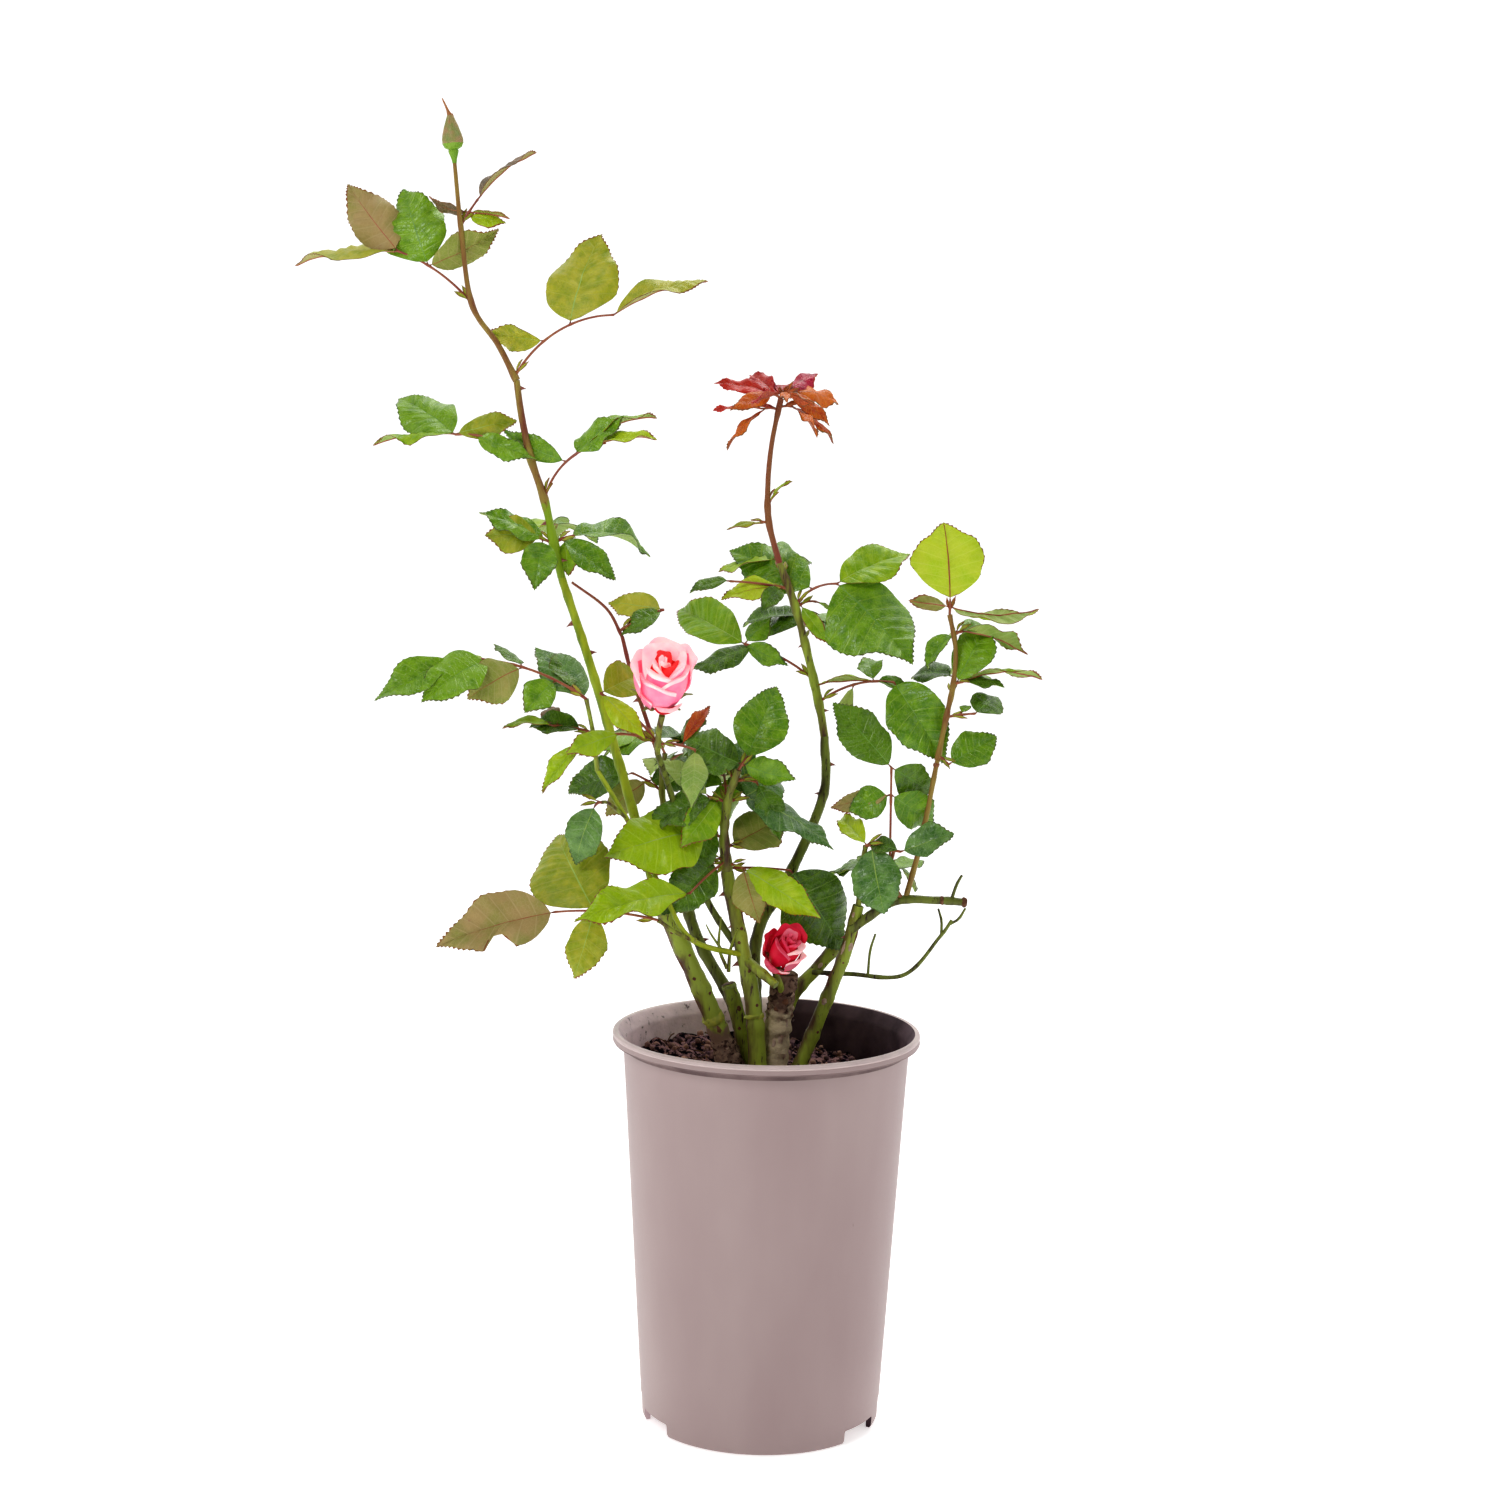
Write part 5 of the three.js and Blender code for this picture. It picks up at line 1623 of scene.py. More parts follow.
    def add_bud(self, skin: Skin, stem: Route) -> None:
        """Adds the closed bud with its hip and the tips of its sepals.

        Args:
            skin: what it is added to.
            stem: the line of the stem that it ends.
        """
        along = stem.heading(1)
        upright = Z_AXIS.rotation_difference(along).to_matrix()
        foot = stem.at(1)
        rings = []
        for radius, rise in self.BUD_PROFILE:
            turns = [2 * math.pi * k / self.BUD_SIDES for k in range(self.BUD_SIDES)]
            deep = 0.13 if rise > 7.5 else 0.0
            seams = [radius * (1 - deep * math.cos(2.5 * a + rise / 9) ** 10) for a in turns]
            tilt = -0.36 * max(0, rise - 27)
            local = [(r * math.cos(a) + tilt, r * math.sin(a), rise) for r, a in zip(seams, turns)]
            rings.append([upright @ Vector(point) + foot for point in local])
        hip, bud, tip = skin.slot(HIP), skin.slot(BUD_SKIN), skin.slot(BUD_TIP)
        slots = np.full((len(rings) - 1, 1), bud)
        slots[:6] = hip
        slots[11:] = tip
        skin.tube(np.array(rings, float), slots, (hip, tip))
        shape = Dice(self.seed + self.BUD_SEED)
        dress = LeafDress(BUD_SKIN, BUD_SKIN, BUD_TIP, BUD_TIP, BUD_TIP)
        for azimuth, rise, length in self.BUD_SEPALS:
            outward = compass(azimuth)
            start = upright @ (outward * 4.2 + Z_AXIS * rise) + foot
            way = unit(upright @ (Z_AXIS - outward * 0.28))
            blade = Blade(start, way, upright @ -outward, 0, length, 0.2, -20, dress, 6, 0.2)
            blade.add_to(skin, shape, BUD_SKIN)


# Short names for the tones in the rows of leaves
D, M, F, L, S, O, B = (
    Tone.DEEP, Tone.MID, Tone.FRESH, Tone.LIME, Tone.SILVER, Tone.OLIVE, Tone.BRONZE,
)
W, P, C = Tone.WINE, Tone.MAGENTA, Tone.COPPER
GREY, PALE, LIME, DUSK = Tone.GREY_BACK, Tone.PALE_BACK, Tone.LIME_BACK, Tone.DUSK_BACK

MASSES = [
    Mass("tall_shoot", "tall_cane", 11, [[-135, 14, 542], [-141, 16, 568], [-150, 18, 594], [-156, 21, 620],
        [-159, 22, 640]], (2.5, 2), (
        Leaf(1, 20, 30, 50, 14, 20, 48, [[0.7, 6, -8, 1.32, -20, 0.42], [0.5, -100, -20, 0.45],
            [0.4, -66, 4, 0.8, 0, 0.6]], (M, F, M)),
        Leaf(0.95, 195, 40, -60, 9, 30, 44, [[1, -2, 0, 0.72, 0, 0.8], [0.9, 80, 10, 0.7, 20, 0.7],
            [0.6, -14, -8, 1, 20, 0.6]], (O, M, M)),
        Leaf(2, -8, 78, 50, 55, 70, 44, [[0.8, 36, 4, 1.2, -20, 0.44], [0.6, 8, 4, 0.8, 0, 0.6],
            [0.9, -6, 12, 0.85, -30, 0.5], [0.5, 128, 40, 1, -40, 0.36], [0.6, 40, 0, 0.55, 0, 0.7]],
            (F, M, L, M, M)),
        Leaf(3, 170, 34, -45, 50, 38, 48, [[1, -5, 0, 1.05, 40], [0.95, -43, 0, 1.15],
            [1, -160, 0, 0.75, 20, 0.5], [0.75, 162, 0, 0.85, 20, 0.42]], (F, M, O, M)),
        Leaf(1.15, 95, 45, 0, 20, 40, 36, 3, (M, F)),
    ), bark=OLIVE_CANE, prickles=((0.1, 5, 4), (0.3, 190, 4), (0.95, 0, 3.5))),
    Mass("tall_tip", "tall_shoot", 21, [[-171, 24, 662], [-187, 26, 686], [-194, 28, 732], [-198, 28, 771]],
        (2, 1.2), (
        Leaf(0.1, -20, 59, 70, 78, 58, 56, [[1, 36, 0, 1.05, -50, 0.44], [0.64, 72, 5, 1.14, 0, 0.78],
            [0.38, 133, 10, 0.76, -20, 0.42]], (O, O, O)),
        Leaf(2, 165, 48, -65, 58, 30, 54, [[1, 12, 4, 1.2, 42], [0.62, -40, 15, 0.97, 0, 0.84],
            [0.62, -138, 15, 0.92, 60, 0.52], [1, -22, 10, 0.96, 0, 0.6]], (O, M, GREY, DUSK)),
        Leaf(3, 25, 62, 40, 20, 10, 46, [[1, -2, 8, 1.05, -45], [0.5, 112, 5, 0.62, -60, 0.3],
            [0.5, -72, 6, 0.58, -60, 0.36], [0.4, -72, -10, 0.5, 0, 0.5]], (B, B, O, L)),
    ), bark=TWIG_CANE, bud=True),
    Mass("whorl_leaves", "whorl_cane", 31, [[29, 34, 445], [20, 36, 481], [12, 38, 508], [3, 38, 531]],
        (2.6, 2), (
        Leaf(1, -20, 40, 60, 52, 45, 56, [[1, -50, 0, 1.03, 0, 0.72], [0.8, 103, -10, 0.5],
            [0.75, -4, 0, 0.34, -40], [0.5, -125, 0, 0.45, 0, 0.4], [0.75, 175, 5, 0.66, 60, 0.44]],
            (M, M, M, PALE, F)),
        Leaf(1.4, 165, 40, -55, 50, 30, 52, [[0.85, 32, 0, 0.76, 30], [1, -26, -8, 1.3, 0, 0.44],
            [0.95, -118, 10, 0.4, 0, 0.7], [0.95, 156, 10, 0.55, 30, 0.56]], (D, F, M, M)),
        Leaf(2.8, 30, 45, 45, 16, 60, 28, [[1, -5, 0, 0.8, -40], [0.3, -103, 0, 1.05, 20, 0.4]], (M, F)),
        Leaf(2.85, -5, 62, 60, 31, 64, 57, [[1, -48, 12, 1.2, 0, 0.84], [1, 40, 6, 0.94, -14, 0.62],
            [0.55, 126, 8, 1.1, 15, 0.54]], (M, F, M)),
        Leaf(3.3, 195, 12, -30, 38, 10, 42, [[1, 0, 0, 0.6, 0, 0.5], [0.1, 12, -5, 0.85, 0, 0.5],
            [0.1, 60, -10, 0.5, 0, 0.6]], (D, LIME, D)),
        Leaf(2, 95, 50, 0, 34, 40, 46, 5, (M, D)),
        Leaf(3.6, 110, 50, 0, 26, 40, 40, 3, (M, F)),
    ), prickles=((0.2, 0, 3.5), (0.5, 180, 3))),
    Mass("red_whorl", "whorl_leaves", 41, [[-4, 38, 556], [-5, 38, 580], [-3, 38, 605], [2, 38, 632]],
        (2, 1.4), (
        Leaf(3.75, 182, 20, -20, 8, 30, 30, [[1, -6, 14, 1, 0, 0.36], [1, 28, -8, 1.25, 0, 0.24]], (W, C)),
        Leaf(3.8, 0, 20, 20, 8, 30, 30, [[1, -8, -6, 1.15, 0, 0.3], [1, -52, 0, 1, 0, 0.3]], (C, C)),
        Leaf(4, 170, 40, -40, 9, 30, 33, [[1, 0, 8, 1, 0, 0.46], [0.6, 56, 0, 0.92, 0, 0.42],
            [0.6, -50, -14, 0.92, 0, 0.5]], (W, C, W)),
        Leaf(4, 10, 45, 40, 9, 30, 33, [[1, 0, -10, 1, 0, 0.42], [0.6, 38, -6, 0.96, 0, 0.5],
            [0.6, -56, -6, 0.92, 0, 0.42]], (C, P, C)),
        Leaf(4, -80, 45, 0, 8, 20, 28, [[1, 0, -30, 0.6, 0, 0.4], [0.6, 60, -26, 0.85, 0, 0.5],
            [0.6, -60, -26, 0.85, 0, 0.54]], (C, C, W)),
        Leaf(4, 90, 45, 0, 8, 20, 28, 3, (W, P)),
        Leaf(1, 178, 5, -30, 5, 10, 20, [[1, 10, 0, 1, 0, 0.3]], (O,)),
        Leaf(1.4, 0, 70, 30, 4, 10, 16, [[1, 0, 0, 1, 0, 0.35]], (L,)),
    ), bark=RED_CANE, slot="red_foliage"),
    Mass("right_leaves", "right_shoot", 51, [[106, 0, 441], [110, 4, 461], [111, 6, 482], [107, 8, 503]],
        (1.7, 1.3), (
        Leaf(0.1, -40, -20, 50, 9, 20, 40, [[1, 86, 0, 0.82, 0, 0.8]], (M,)),
        Leaf(1, 10, 12, 40, 18, 10, 27, [[1, 48, 0, 1.1, 0, 0.8], [0.5, 50, 0, 0.4]], (D, M)),
        Leaf(2, -10, 20, 30, 6, 10, 46, [[1, -2, 0, 0.5], [1, 22, -2, 1.05, -30, 0.46],
            [0.4, 35, 30, 0.95, 35, 0.7]], (D, F, M)),
        Leaf(3.4, 15, 50, 30, 6, 50, 44, [[1, 0, 0, 1, -50, 0.46], [0.8, 24, 0, 0.6, 0, 0.6],
            [0.3, 110, -30, 0.5], [0.3, 165, 0, 0.6]], (F, M, L, M)),
        Leaf(4, -90, 88, 0, 8, 0, 50, [[1, -2, 0, 1, 0, 0.88], [0.6, 115, 0, 1.02, -65, 0.42],
            [0.6, -80, 0, 0.45, 40, 0.5]], (LIME, F, O)),
        Leaf(1.6, 80, 50, 0, 24, 30, 36, 3, (M, D)),
    ), bark=TWIG_CANE),
    Mass("right_middle", "cut_branch", 61, [[73, -15, 345], [75, -20, 362]], (1.3, 1.1), (
        Leaf(1, 90, 84, 0, 66, 5, 53, [[1, 40, 0, 0.92, 0, 0.6], [0.95, -122, -10, 0.55, 0, 0.8],
            [0.7, 98, -14, 0.72, 0, 0.36], [0.7, -118, 0, 0.62, 0, 0.8], [0.7, 112, 0, 0.48, 0, 0.8]],
            (D, D, DUSK, M, M)),
        Leaf(0.6, 100, 40, 0, 30, 40, 42, 5, (M, D)),
    ), side=0.4, bark=RED_CANE),
    Mass("right_low", "right_cane", 71, [[56, -8, 345], [58, -14, 363]], (1.8, 1.4), (
        Leaf(2, -30, 30, 60, 4, 40, 43, [[1, -60, 5, 1, 0, 0.85], [0.3, 123, 0, 0.85, 20, 0.46]], (S, L)),
        Leaf(1.7, -40, 20, 50, 28, 20, 32, [[1, 26, 0, 1, 15, 0.7], [1, 172, 0, 0.75, 15, 0.5]], (S, D)),
    )),
    Mass("centre_leaves", "middle_cane", 81, [[-28, -12, 368], [-26, -16, 390], [-20, -20, 409]], (3, 1.8),
        (
        Leaf(0.85, 190, 40, -60, 14, 20, 60, [[1, 40, 10, 1.1, 0, 0.72], [1, -118, 0, 0.85, 10, 0.4]],
            (L, F)),
        Leaf(0.3, 242, -12, -60, 46, 10, 66, [[1, -29, -20, 1.1, 25, 0.46]], (L,)),
        Leaf(1.9, 10, 30, 50, 10, 20, 54, [[1, -31, 10, 1.1, -40, 0.56], [1, 28, 0, 0.68, 0, 0.85]],
            (S, S)),
        Leaf(3, 10, 60, 60, 8, 10, 54, [[1, 23, 0, 0.9, 0, 0.72], [0.5, -70, 0, 0.56, 20],
            [0.5, 106, -10, 0.86]], (M, M, D)),
        Leaf(0.2, -30, 10, 60, 12, 30, 52, [[1, 3, 0, 1, 0, 0.44], [1, -47, 0, 0.64, 0, 0.7]], (L, GREY)),
        Leaf(0.7, -15, 10, 50, 4, 20, 54, [[1, 56, 0, 0.78, 0, 0.84]], (GREY,)),
        Leaf(0.1, 12, 2, 75, 40, 10, 60, [[1, -42, 4, 1, 0, 0.82]], (D,)),
        Leaf(1.8, 95, 50, 0, 34, 40, 44, 5, (D, M)),
        Leaf(2.6, 120, 50, 0, 24, 40, 40, 3, (M, D)),
        Leaf(0.35, 215, 10, -50, 8, 20, 46, [[1, 30, -10, 1, 0, 0.7]], (D,)),
        Leaf(1.9, 190, 30, -50, 12, 20, 46, [[1, -36, 0, 0.92, 0, 0.42], [0.8, 24, -16, 0.9, 0, 0.6],
            [0.5, 66, -10, 0.8, 0, 0.6]], (PALE, D, F)),
        Leaf(2.6, 5, 20, 50, 14, 40, 44, [[1, -44, -6, 0.8, 0, 0.6], [0.5, 96, 0, 0.66, 0, 0.6]], (D, S)),
        Leaf(1.3, 176, 20, -50, 10, 40, 44, [[1, -20, -10, 0.9, 0, 0.6], [0.6, 70, -10, 0.8, 0, 0.6]],
            (D, D)),
    )),
    Mass("low_bloom", "graft_stub", 91, [[8, -18, 276], [4, -26, 287]], (2, 1.9), (), side=0.7,
        bloom=RED_BLOOM, slot="red_bloom"),
    Mass("rose_leaves", "rose_cane", 101, [[-67, -57, 436], [-65, -62, 446]], (1.8, 1.9), (
        Leaf(0.4, 185, 56, -50, 46, 30, 36, [[1, -127, 10, 0.8, 0, 0.9], [1, 150, 10, 1, 0, 0.44]], (O, L)),
        Leaf(0.4, -20, 10, 40, 24, 30, 48, [[1, -62, 0, 0.7, 0, 0.46], [0.6, 88, 10, 0.62, 0, 0.6],
            [0.6, 74, 8, 0.7, 0, 0.24]], (PALE, D, C)),
        Leaf(0.4, 185, 30, -50, 46, 60, 46, [[1, 15, 0, 0.8, 0, 0.4], [0.5, 27, 10, 0.75, 0, 0.5]], (L, F)),
    ), bloom=ROSE),
    Mass("left_leaves", "left_shoot", 111, [[-106, -48, 432], [-110, -54, 454]], (1.4, 1.2), (
        Leaf(2, 182, 36, -50, 84, 40, 50, [[1, 31, 0, 0.98, 0, 0.54], [0.8, 42, 10, 0.9, 0, 0.8],
            [0.8, -12, 0, 0.4, 30], [0.56, 52, 0, 0.74, 0, 0.76], [0.5, -50, -10, 0.5, 30],
            [0.04, -30, -5, 0.92, 10, 0.64], [0.12, -66, -20, 0.7, 0, 0.6], [0.3, 62, 0, 0.5, 0, 0.8]],
            (M, M, F, GREY, D, S, D, M)),
        Leaf(1.05, 180, 20, -50, 24, 20, 36, [[1, -18, 0, 0.78, 35, 0.34], [0.9, -60, 0, 0.6],
            [0.25, -6, 0, 0.84]], (F, B, D)),
    )),
    Mass("low_left_leaves", "left_shoot", 121, [[-56, -45, 314], [-66, -51, 322]], (1.4, 1.2), (
        Leaf(2, 182, 14, -75, 62, 20, 62, [[1, 1, 0, 1.12, 0, 0.56, 0.34], [0.62, -60, -26, 1.12, 0, 0.76],
            [0.62, 74, 5, 0.68]], (DUSK, O, O)),
    ), side=0.25),
    Mass("hanging_leaf", "left_shoot", 131, [[-97, -38, 390], [-101, -42, 391]], (1.1, 0.9), (
        Leaf(2, 188, 10, -60, 4, 60, 40, [[1, 20, 4, 0.9, 0, 0.66]], (S,)),
    ), side=0.8),
    Mass("dark_cane_leaves", "dark_cane", 141, [[-68, 32, 392], [-66, 30, 412]], (2.2, 1.4), (
        Leaf(0.8, 170, 40, -50, 22, 20, 50, [[1, 32, 0, 0.8, 0, 0.72], [0.5, 66, 0, 0.66],
            [0.5, -135, 0, 0.72]], (D, GREY, D)),
        Leaf(1.4, 60, 40, 0, 26, 40, 46, 5, (D, M)),
        Leaf(2, 120, 40, 0, 30, 40, 46, 5, (D, M)),
    )),
    Mass("twig_leaves", "side_twig", 151, [[-101, -16, 505], [-122, -12, 520]], (1, 0.8), (
        Leaf(0.2, 10, 36, 50, 30, 20, 44, [[1, 146, 0, 0.85], [1, -166, 10, 0.65]], (O, D)),
    ), bark=RED_CANE),
]


def deselect() -> None:
    """Leaves edit mode and deselects everything, the CAD nodes among them."""
    if bpy.context.object and bpy.context.object.mode != "OBJECT":
        bpy.ops.object.mode_set(mode="OBJECT")
    bpy.ops.object.select_all(action="DESELECT")


def apply_modifier(piece: bpy.types.Object, kind: str, **settings: object) -> None:
    """Adds a modifier to a piece and applies it.

    Args:
        piece: the piece.
        kind: the kind of modifier.
        settings: its settings.
    """
    modifier = piece.modifiers.new(kind.lower(), kind)
    for key, value in settings.items():
        setattr(modifier, key, value)
    bpy.context.view_layer.objects.active = piece
    bpy.ops.object.modifier_apply(modifier=modifier.name)


def inner_radius(height: float) -> float:
    """Gives the inside radius of the pot's wall at a height."""
    slope = (WALL_TOP_RADIUS - WALL_FOOT_RADIUS) / (POT_HEIGHT - LIP_HEIGHT - FOOT_HEIGHT)
    return WALL_FOOT_RADIUS - WALL + slope * (height - FOOT_HEIGHT)


@dataclass(frozen=True)
class Pot:
    """The deep round nursery pot with a rolled rim and three foot notches."""

    steps: int = 120
    band: float = 15.0
    band_step: float = 0.35
    # Inside faces beyond this x, in millimetres, take the painted shade.
    painted_shade_from: float = 11.0

    def profile(self) -> list[tuple[float, float]]:
        """Gives the pot's section, from the hub under it round the wall and back to its floor.

        Returns:
            Pairs of radius and height.
        """
        lip_foot = POT_HEIGHT - LIP_HEIGHT
        floor_top = CHANNEL_HEIGHT + FLOOR
        rim, top, neck = RIM_RADIUS, POT_HEIGHT, WALL_TOP_RADIUS
        slope = (neck - WALL_FOOT_RADIUS) / (lip_foot - FOOT_HEIGHT)
        wall = []
        for height in (self.band - 1, self.band, 60, 110, 160, 205):
            step = self.band_step if height < self.band else 0
            wall.append((WALL_FOOT_RADIUS + slope * (height - FOOT_HEIGHT) - step, height))
        return [
            (HUB_RADIUS, 0), (HUB_RADIUS + 2, CHANNEL_HEIGHT), (FOOT_RING_INNER, CHANNEL_HEIGHT),
            (FOOT_RING_INNER, 0), (FOOT_RING_OUTER, 0), (WALL_FOOT_RADIUS - 0.4, FOOT_HEIGHT), *wall,
            (neck - 0.1, lip_foot - 3.4), (neck, lip_foot - 1.6), (neck + 0.5, lip_foot + 0.9),
            (rim - 2.2, lip_foot + 0.9), (rim - 0.7, lip_foot + 0.4), (rim - 0.1, lip_foot + 1.4),
            (rim - 0.5, top - 3.0), (rim, top - 2.2), (rim - 0.3, top - 0.8), (rim - 1.4, top),
            (rim - 3.2, top - 0.2), (rim - 4.2, top - 1.0), (rim - 5.2, top - 3.2),
            (inner_radius(lip_foot) + 0.6, lip_foot + 0.4), (inner_radius(lip_foot), lip_foot - 2),
            (inner_radius(200), 200), (inner_radius(120), 120),
            (inner_radius(floor_top + 3), floor_top + 3), (inner_radius(floor_top) - 2, floor_top),
            (HUB_RADIUS + 3.4, floor_top), (HUB_RADIUS + 0.4, FLOOR),
        ]

    def build(self) -> None:
        """Turns the section into the pot, cuts the notches and dresses both sides of the wall."""
        section = self.profile()
        deselect()
        bpy.ops.mesh.primitive_plane_add(size=0.001, location=(section[0][0] * MM, 0, section[0][1] * MM))
        piece = bpy.context.object
        piece.name = "pot_shell"
        bpy.ops.object.mode_set(mode="EDIT")
        bpy.ops.mesh.merge(type="CENTER")
        for (radius, height), (next_radius, next_height) in zip(section, section[1:]):
            move = ((next_radius - radius) * MM, 0, (next_height - height) * MM)
            bpy.ops.mesh.extrude_vertices_move(TRANSFORM_OT_translate={"value": move})
        bpy.ops.mesh.select_all(action="SELECT")
        bpy.ops.mesh.spin(steps=self.steps, angle=2 * math.pi, center=(0, 0, 0), axis=(0, 0, 1))
        bpy.ops.mesh.select_all(action="SELECT")
        bpy.ops.mesh.remove_doubles(threshold=0.00005)
        bpy.ops.mesh.fill_holes(sides=0)
        bpy.ops.mesh.select_all(action="SELECT")
        bpy.ops.mesh.normals_make_consistent(inside=False)
        bpy.ops.object.mode_set(mode="OBJECT")
        bpy.ops.object.transform_apply(location=True, rotation=True, scale=True)
        for k in range(NOTCH_COUNT):
            self.cut_notch(piece, NOTCH_AZIMUTH + 360 / NOTCH_COUNT * k)
        self.dress(piece)
        hand_in(piece, "pot")

    def cut_notch(self, piece: bpy.types.Object, azimuth: float) -> None:
        """Cuts one foot notch through the wall's foot with a rounded box.

        Args:
            piece: the pot.
            azimuth: the notch's compass direction.
        """
        deselect()
        bpy.ops.mesh.primitive_cube_add(size=1)
        box = bpy.context.object
        box.scale = (14 * MM, NOTCH_WIDTH * MM, 2 * NOTCH_HEIGHT * MM)
        around = math.radians(azimuth)
        reach = (FOOT_RING_OUTER + 1) * MM
        box.location = (reach * math.cos(around), reach * math.sin(around), 0)
        box.rotation_euler = (0, 0, around)
        bpy.ops.object.transform_apply(location=True, rotation=True, scale=True)
        apply_modifier(box, "BEVEL", width=0.0012, segments=2)
        apply_modifier(piece, "BOOLEAN", operation="DIFFERENCE", solver="EXACT", object=box)
        bpy.data.objects.remove(box)

    def dress(self, piece: bpy.types.Object) -> None:
        """Gives the inside of the wall and the rim their own finishes and smooths the faces. The inside is
        painted light on the left and painted shade on the right, the rim's top is painted lighter where the
        light falls, and the band under the rim is painted shade.

        Args:
            piece: the pot.
        """
        lip_foot = POT_HEIGHT - LIP_HEIGHT
        mesh = piece.data
        mesh.materials.clear()
        for finish in (PLASTIC, PAINTED_LIGHT_INSIDE, PAINTED_SHADE_INSIDE, PAINTED_LIGHT_LIP, LIP_SHADE):
            mesh.materials.append(material(finish))
        for face in mesh.polygons:
            centre = face.center
            inward = face.normal.x * centre.x + face.normal.y * centre.y < 0
            inside = inward and centre.z < (POT_HEIGHT - 0.5) * MM and centre.z > FLOOR * MM
            # The inside's right side takes the painted shade, its left side the painted light.
            in_painted_shade = centre.x > self.painted_shade_from * MM
            face.material_index = (2 if in_painted_shade else 1) if inside else 0
            # The rim's top takes the painted light.
            if centre.z > (POT_HEIGHT - 3) * MM and not inside:
                face.material_index = 3
            # The band under the rim takes the painted shade.
            elif (lip_foot - 3.6) * MM < centre.z < (lip_foot + 0.95) * MM and not inside:
                face.material_index = 4
        deselect()
        piece.select_set(True)
        bpy.context.view_layer.objects.active = piece
        bpy.ops.object.shade_smooth_by_angle(angle=math.radians(32))


@dataclass(frozen=True)
class Soil:
    """The potting soil: heaped at the back left, low at the right, with crumbs and fibres on it."""

    rings: int = 46
    steps: int = 150
    crumbs: int = 420
    fibres: int = 90
    depth: float = 30.0
    seed: int = 901

    GAP = 0.4
    LUMP_SIZE = 7
    LUMP_HEIGHT = 2.6

    def level(self, x: float, y: float) -> float:
        """Gives the height of the soil's face, as in the part's source."""
        bumps = math.sin(x / 7 + 1) * math.cos(y / 9) + math.sin((x + y) / 12) * math.cos((x - y) / 5)
        return SOIL_LEVEL + SOIL_TILT * (y * 0.4 - x) + SOIL_BUMP * bumps

    def build(self) -> None:
        """Models the face and scatters crumbs and fibres over it."""
        self.build_face()
        self.build_crumbs()

    def build_face(self) -> None:
        """Shapes a disc of many rings into the soil's face and closes it below."""
        deselect()
        reach = inner_radius(SOIL_LEVEL) - self.GAP
        bpy.ops.mesh.primitive_circle_add(
            vertices=self.steps, radius=reach * MM, fill_type="NGON", location=(0, 0, 0)
        )
        piece = bpy.context.object
        piece.name = "soil_face"
        bpy.ops.object.mode_set(mode="EDIT")
        bpy.ops.mesh.select_all(action="SELECT")
        bpy.ops.mesh.extrude_region_move(TRANSFORM_OT_translate={"value": (0, 0, -self.depth * MM)})
        narrow = 1 - 2.2 / reach
        bpy.ops.transform.resize(value=(narrow, narrow, 1), center_override=(0, 0, 0))
        bpy.ops.mesh.select_all(action="SELECT")
        bpy.ops.mesh.normals_make_consistent(inside=False)
        bpy.ops.object.mode_set(mode="OBJECT")
        deselect()
        for part in (piece.data.vertices, piece.data.edges, piece.data.polygons):
            part.foreach_set("select", [False] * len(part))
        for face in piece.data.polygons:
            face.select = face.center.z > -1 * MM
        piece.select_set(True)
        bpy.context.view_layer.objects.active = piece
        bpy.ops.object.mode_set(mode="EDIT")
        for _ in range(self.rings):
            bpy.ops.mesh.inset(thickness=reach * MM / (self.rings + 1))
        bpy.ops.object.mode_set(mode="OBJECT")
        for vertex in piece.data.vertices:
            if vertex.co.z < -1 * MM:
                vertex.co.z += SOIL_LEVEL * MM
                continue
            x, y = vertex.co.x / MM, vertex.co.y / MM
            lumps = noise.fractal(Vector((x, y, 3)) / self.LUMP_SIZE, 0.8, 2.2, 5)
            height = self.level(x, y) + self.LUMP_HEIGHT * lumps
            spread = (inner_radius(height) - self.GAP) / reach
            vertex.co = Vector((x * spread, y * spread, height)) * MM
        piece.data.materials.clear()
        piece.data.materials.append(material(EARTH))
        piece.data.polygons.foreach_set("use_smooth", [True] * len(piece.data.polygons))
        hand_in(piece, "soil")

    def build_crumbs(self) -> None:
        """Scatters crumbs and fibres, more of them on the heap than elsewhere."""
        skin = Skin()
        dice = Dice(self.seed)
        reach = inner_radius(SOIL_LEVEL) - 6
        for number in range(self.crumbs + self.fibres):
            radius, around = reach * math.sqrt(dice.roll()), dice.between(0, 2 * math.pi)
            x, y = radius * math.cos(around), radius * math.sin(around)
            foot = Vector((x, y, self.level(x, y) + dice.between(0, 3)))
            if number < self.crumbs:
                self.add_crumb(skin, foot, dice)
            else:
                self.add_fibre(skin, foot, dice)
        hand_in(skin.build("soil_crumbs", 70), "soil")

    def add_crumb(self, skin: Skin, foot: Vector, dice: Dice) -> None:
        """Adds one uneven crumb.

        Args:
            skin: what it is added to.
            foot: where it lies.
            dice: deals its size and its shape.
        """
        size = dice.between(0.8, 2.6)
        way = unit(Vector((dice.swing(1), dice.swing(1), dice.swing(1))) + Vector((0.01, 0, 0)))
        points = [foot + way * size * t for t in (-0.9, -0.45, 0.1, 0.6, 0.95)]
        widths = [size * w * dice.between(0.75, 1.2) for w in (0.3, 0.85, 1, 0.7, 0.25)]
        skin.bar(swept(points, widths, 6, 0.3, 1.5), CRUMB)

    def add_fibre(self, skin: Skin, foot: Vector, dice: Dice) -> None:
        """Adds one thin bent fibre.

        Args:
            skin: what it is added to.
            foot: where it starts.
            dice: deals its direction, length, bend and thickness.
        """
        way = unit(Vector((dice.swing(1), dice.swing(1), dice.swing(0.3))))
        length = dice.between(4, 13)
        middle = foot + way * length / 2 + Vector((0, 0, dice.swing(1.5)))
        points, _ = Route([foot, middle, foot + way * length]).samples(2)
        skin.bar(swept(points, [dice.between(0.2, 0.45)] * len(points), 5), FIBRE)


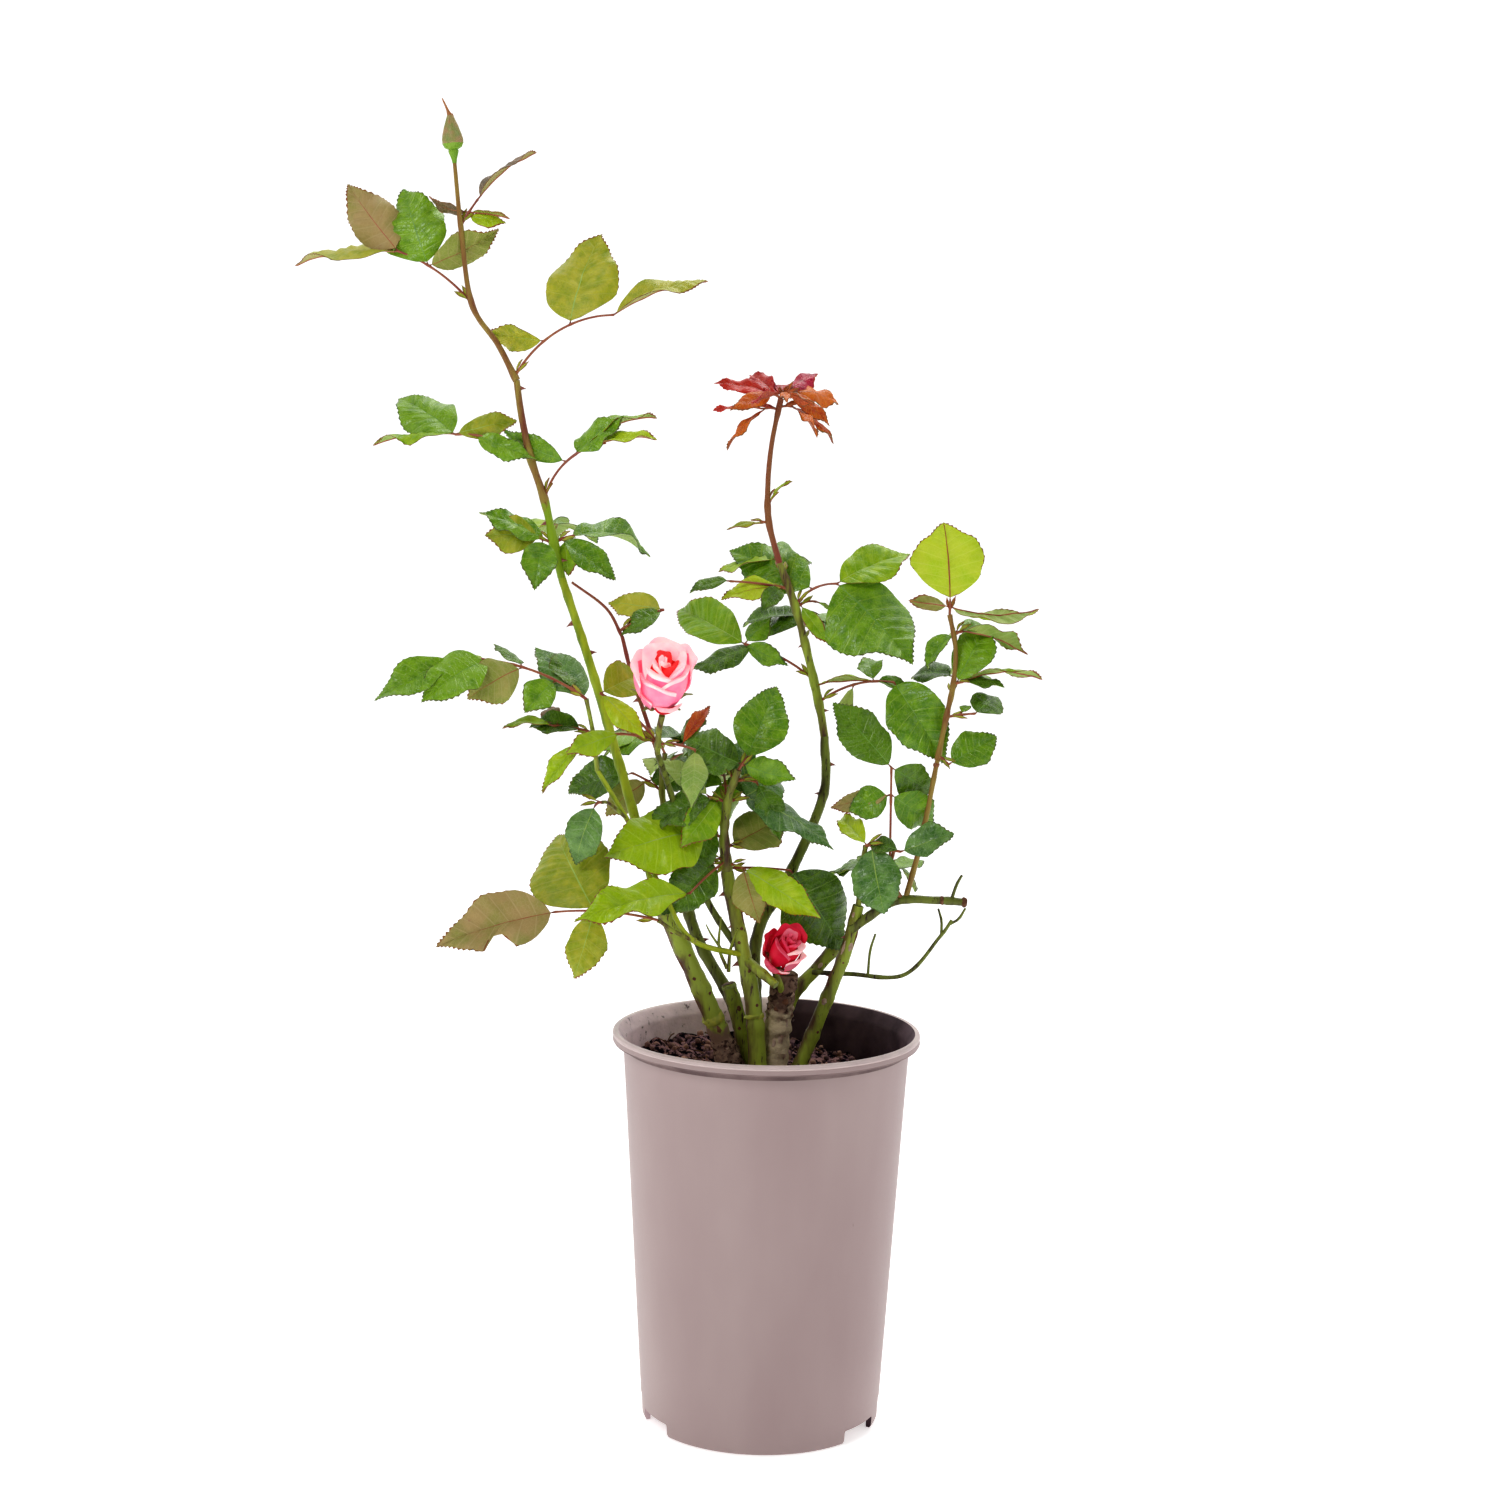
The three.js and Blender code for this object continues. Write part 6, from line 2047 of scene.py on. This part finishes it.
@dataclass(frozen=True)
class Studio:
    """The pale floor, the soft lights and the camera at the photograph's angle."""

    camera_place: tuple = (-0.0132, -1.622, 0.620)
    pitch: float = 7.07
    roll: float = 1.0
    lens: float = 64.3
    glow_from: float = 0.12
    floor_tone: float = 0.93
    floor_glow: float = 0.42
    aim: tuple = (0, 0, 0.4)

    def build(self) -> None:
        """Sets everything up."""
        self.add_camera()
        self.add_floor()
        self.add_light("key", (-1.3, -1.5, 2.1), 0.9, 19)
        self.add_light("fill", (1.6, -1.0, 1.7), 1.0, 6)
        self.add_light("top", (0.3, 0.9, 2.2), 1.0, 11)
        self.add_world()
        bpy.context.scene.view_settings.view_transform = "Standard"
        bpy.context.scene.view_settings.look = "Medium High Contrast"

    def add_world(self) -> None:
        """Surrounds the plant with a white wall behind it and a dim room in front."""
        world = bpy.data.worlds.new("studio")
        bpy.context.scene.world = world
        world.use_nodes = True
        net = Net(world.node_tree)
        way = net.add("TexCoord", {})["Generated"]
        depth = net.add("SeparateXYZ", {"Vector": way})["Y"]
        wall = net.add("MapRange", {
            "Value": depth, "From Min": -0.4, "From Max": 0.5, "To Min": self.glow_from, "To Max": 1.0,
        })
        background = world.node_tree.nodes["Background"]
        net.feed(background, {"Color": (1, 1, 1, 1), "Strength": wall["Result"]})

    def add_camera(self) -> None:
        """Adds the camera."""
        data = bpy.data.cameras.new("camera")
        data.lens = self.lens
        data.sensor_width = 36
        data.clip_end = 50
        camera = bpy.data.objects.new("camera", data)
        look = Matrix.Rotation(math.radians(90 - self.pitch), 4, "X")
        tilt = Matrix.Rotation(math.radians(self.roll), 4, "Z")
        camera.matrix_world = Matrix.Translation(self.camera_place) @ look @ tilt
        bpy.context.scene.collection.objects.link(camera)
        bpy.context.scene.camera = camera

    def add_floor(self) -> None:
        """Adds the wide floor."""
        deselect()
        bpy.ops.mesh.primitive_plane_add(size=30, location=(0, 0, -0.0005))
        floor = bpy.context.object
        floor.name = "studio_floor"
        paint = bpy.data.materials.new("studio_floor")
        paint.use_nodes = True
        tone = self.floor_tone
        Net(paint.node_tree).feed(paint.node_tree.nodes["Principled BSDF"], {
            "Base Color": (tone, tone, tone, 1), "Roughness": 0.9,
            "Emission Color": (1, 1, 1, 1), "Emission Strength": self.floor_glow,
        })
        floor.data.materials.append(paint)

    def add_light(self, name: str, place: tuple, size: float, energy: float) -> None:
        """Adds a large soft light that faces the plant.

        Args:
            name: the light's name.
            place: where it stands.
            size: the side of its square face.
            energy: its power in watts.
        """
        data = bpy.data.lights.new(name, "AREA")
        data.size = size
        data.energy = energy
        light = bpy.data.objects.new(name, data)
        light.location = place
        towards = Vector(self.aim) - Vector(place)
        light.rotation_euler = towards.to_track_quat("-Z", "Y").to_euler()
        bpy.context.scene.collection.objects.link(light)


def main() -> None:
    """Builds the studio, the pot, the soil, the limbs and the foliage."""
    logging.basicConfig(level=logging.INFO, format="%(name)s: %(message)s")
    Studio().build()
    Pot().build()
    Soil().build()
    routes: dict[str, Route] = {}
    for limb in LIMBS:
        limb.build()
        routes[limb.name] = Route(limb.route)
    for mass in MASSES:
        mass.build(routes)
    deselect()


if __name__ == "__main__":
    main()
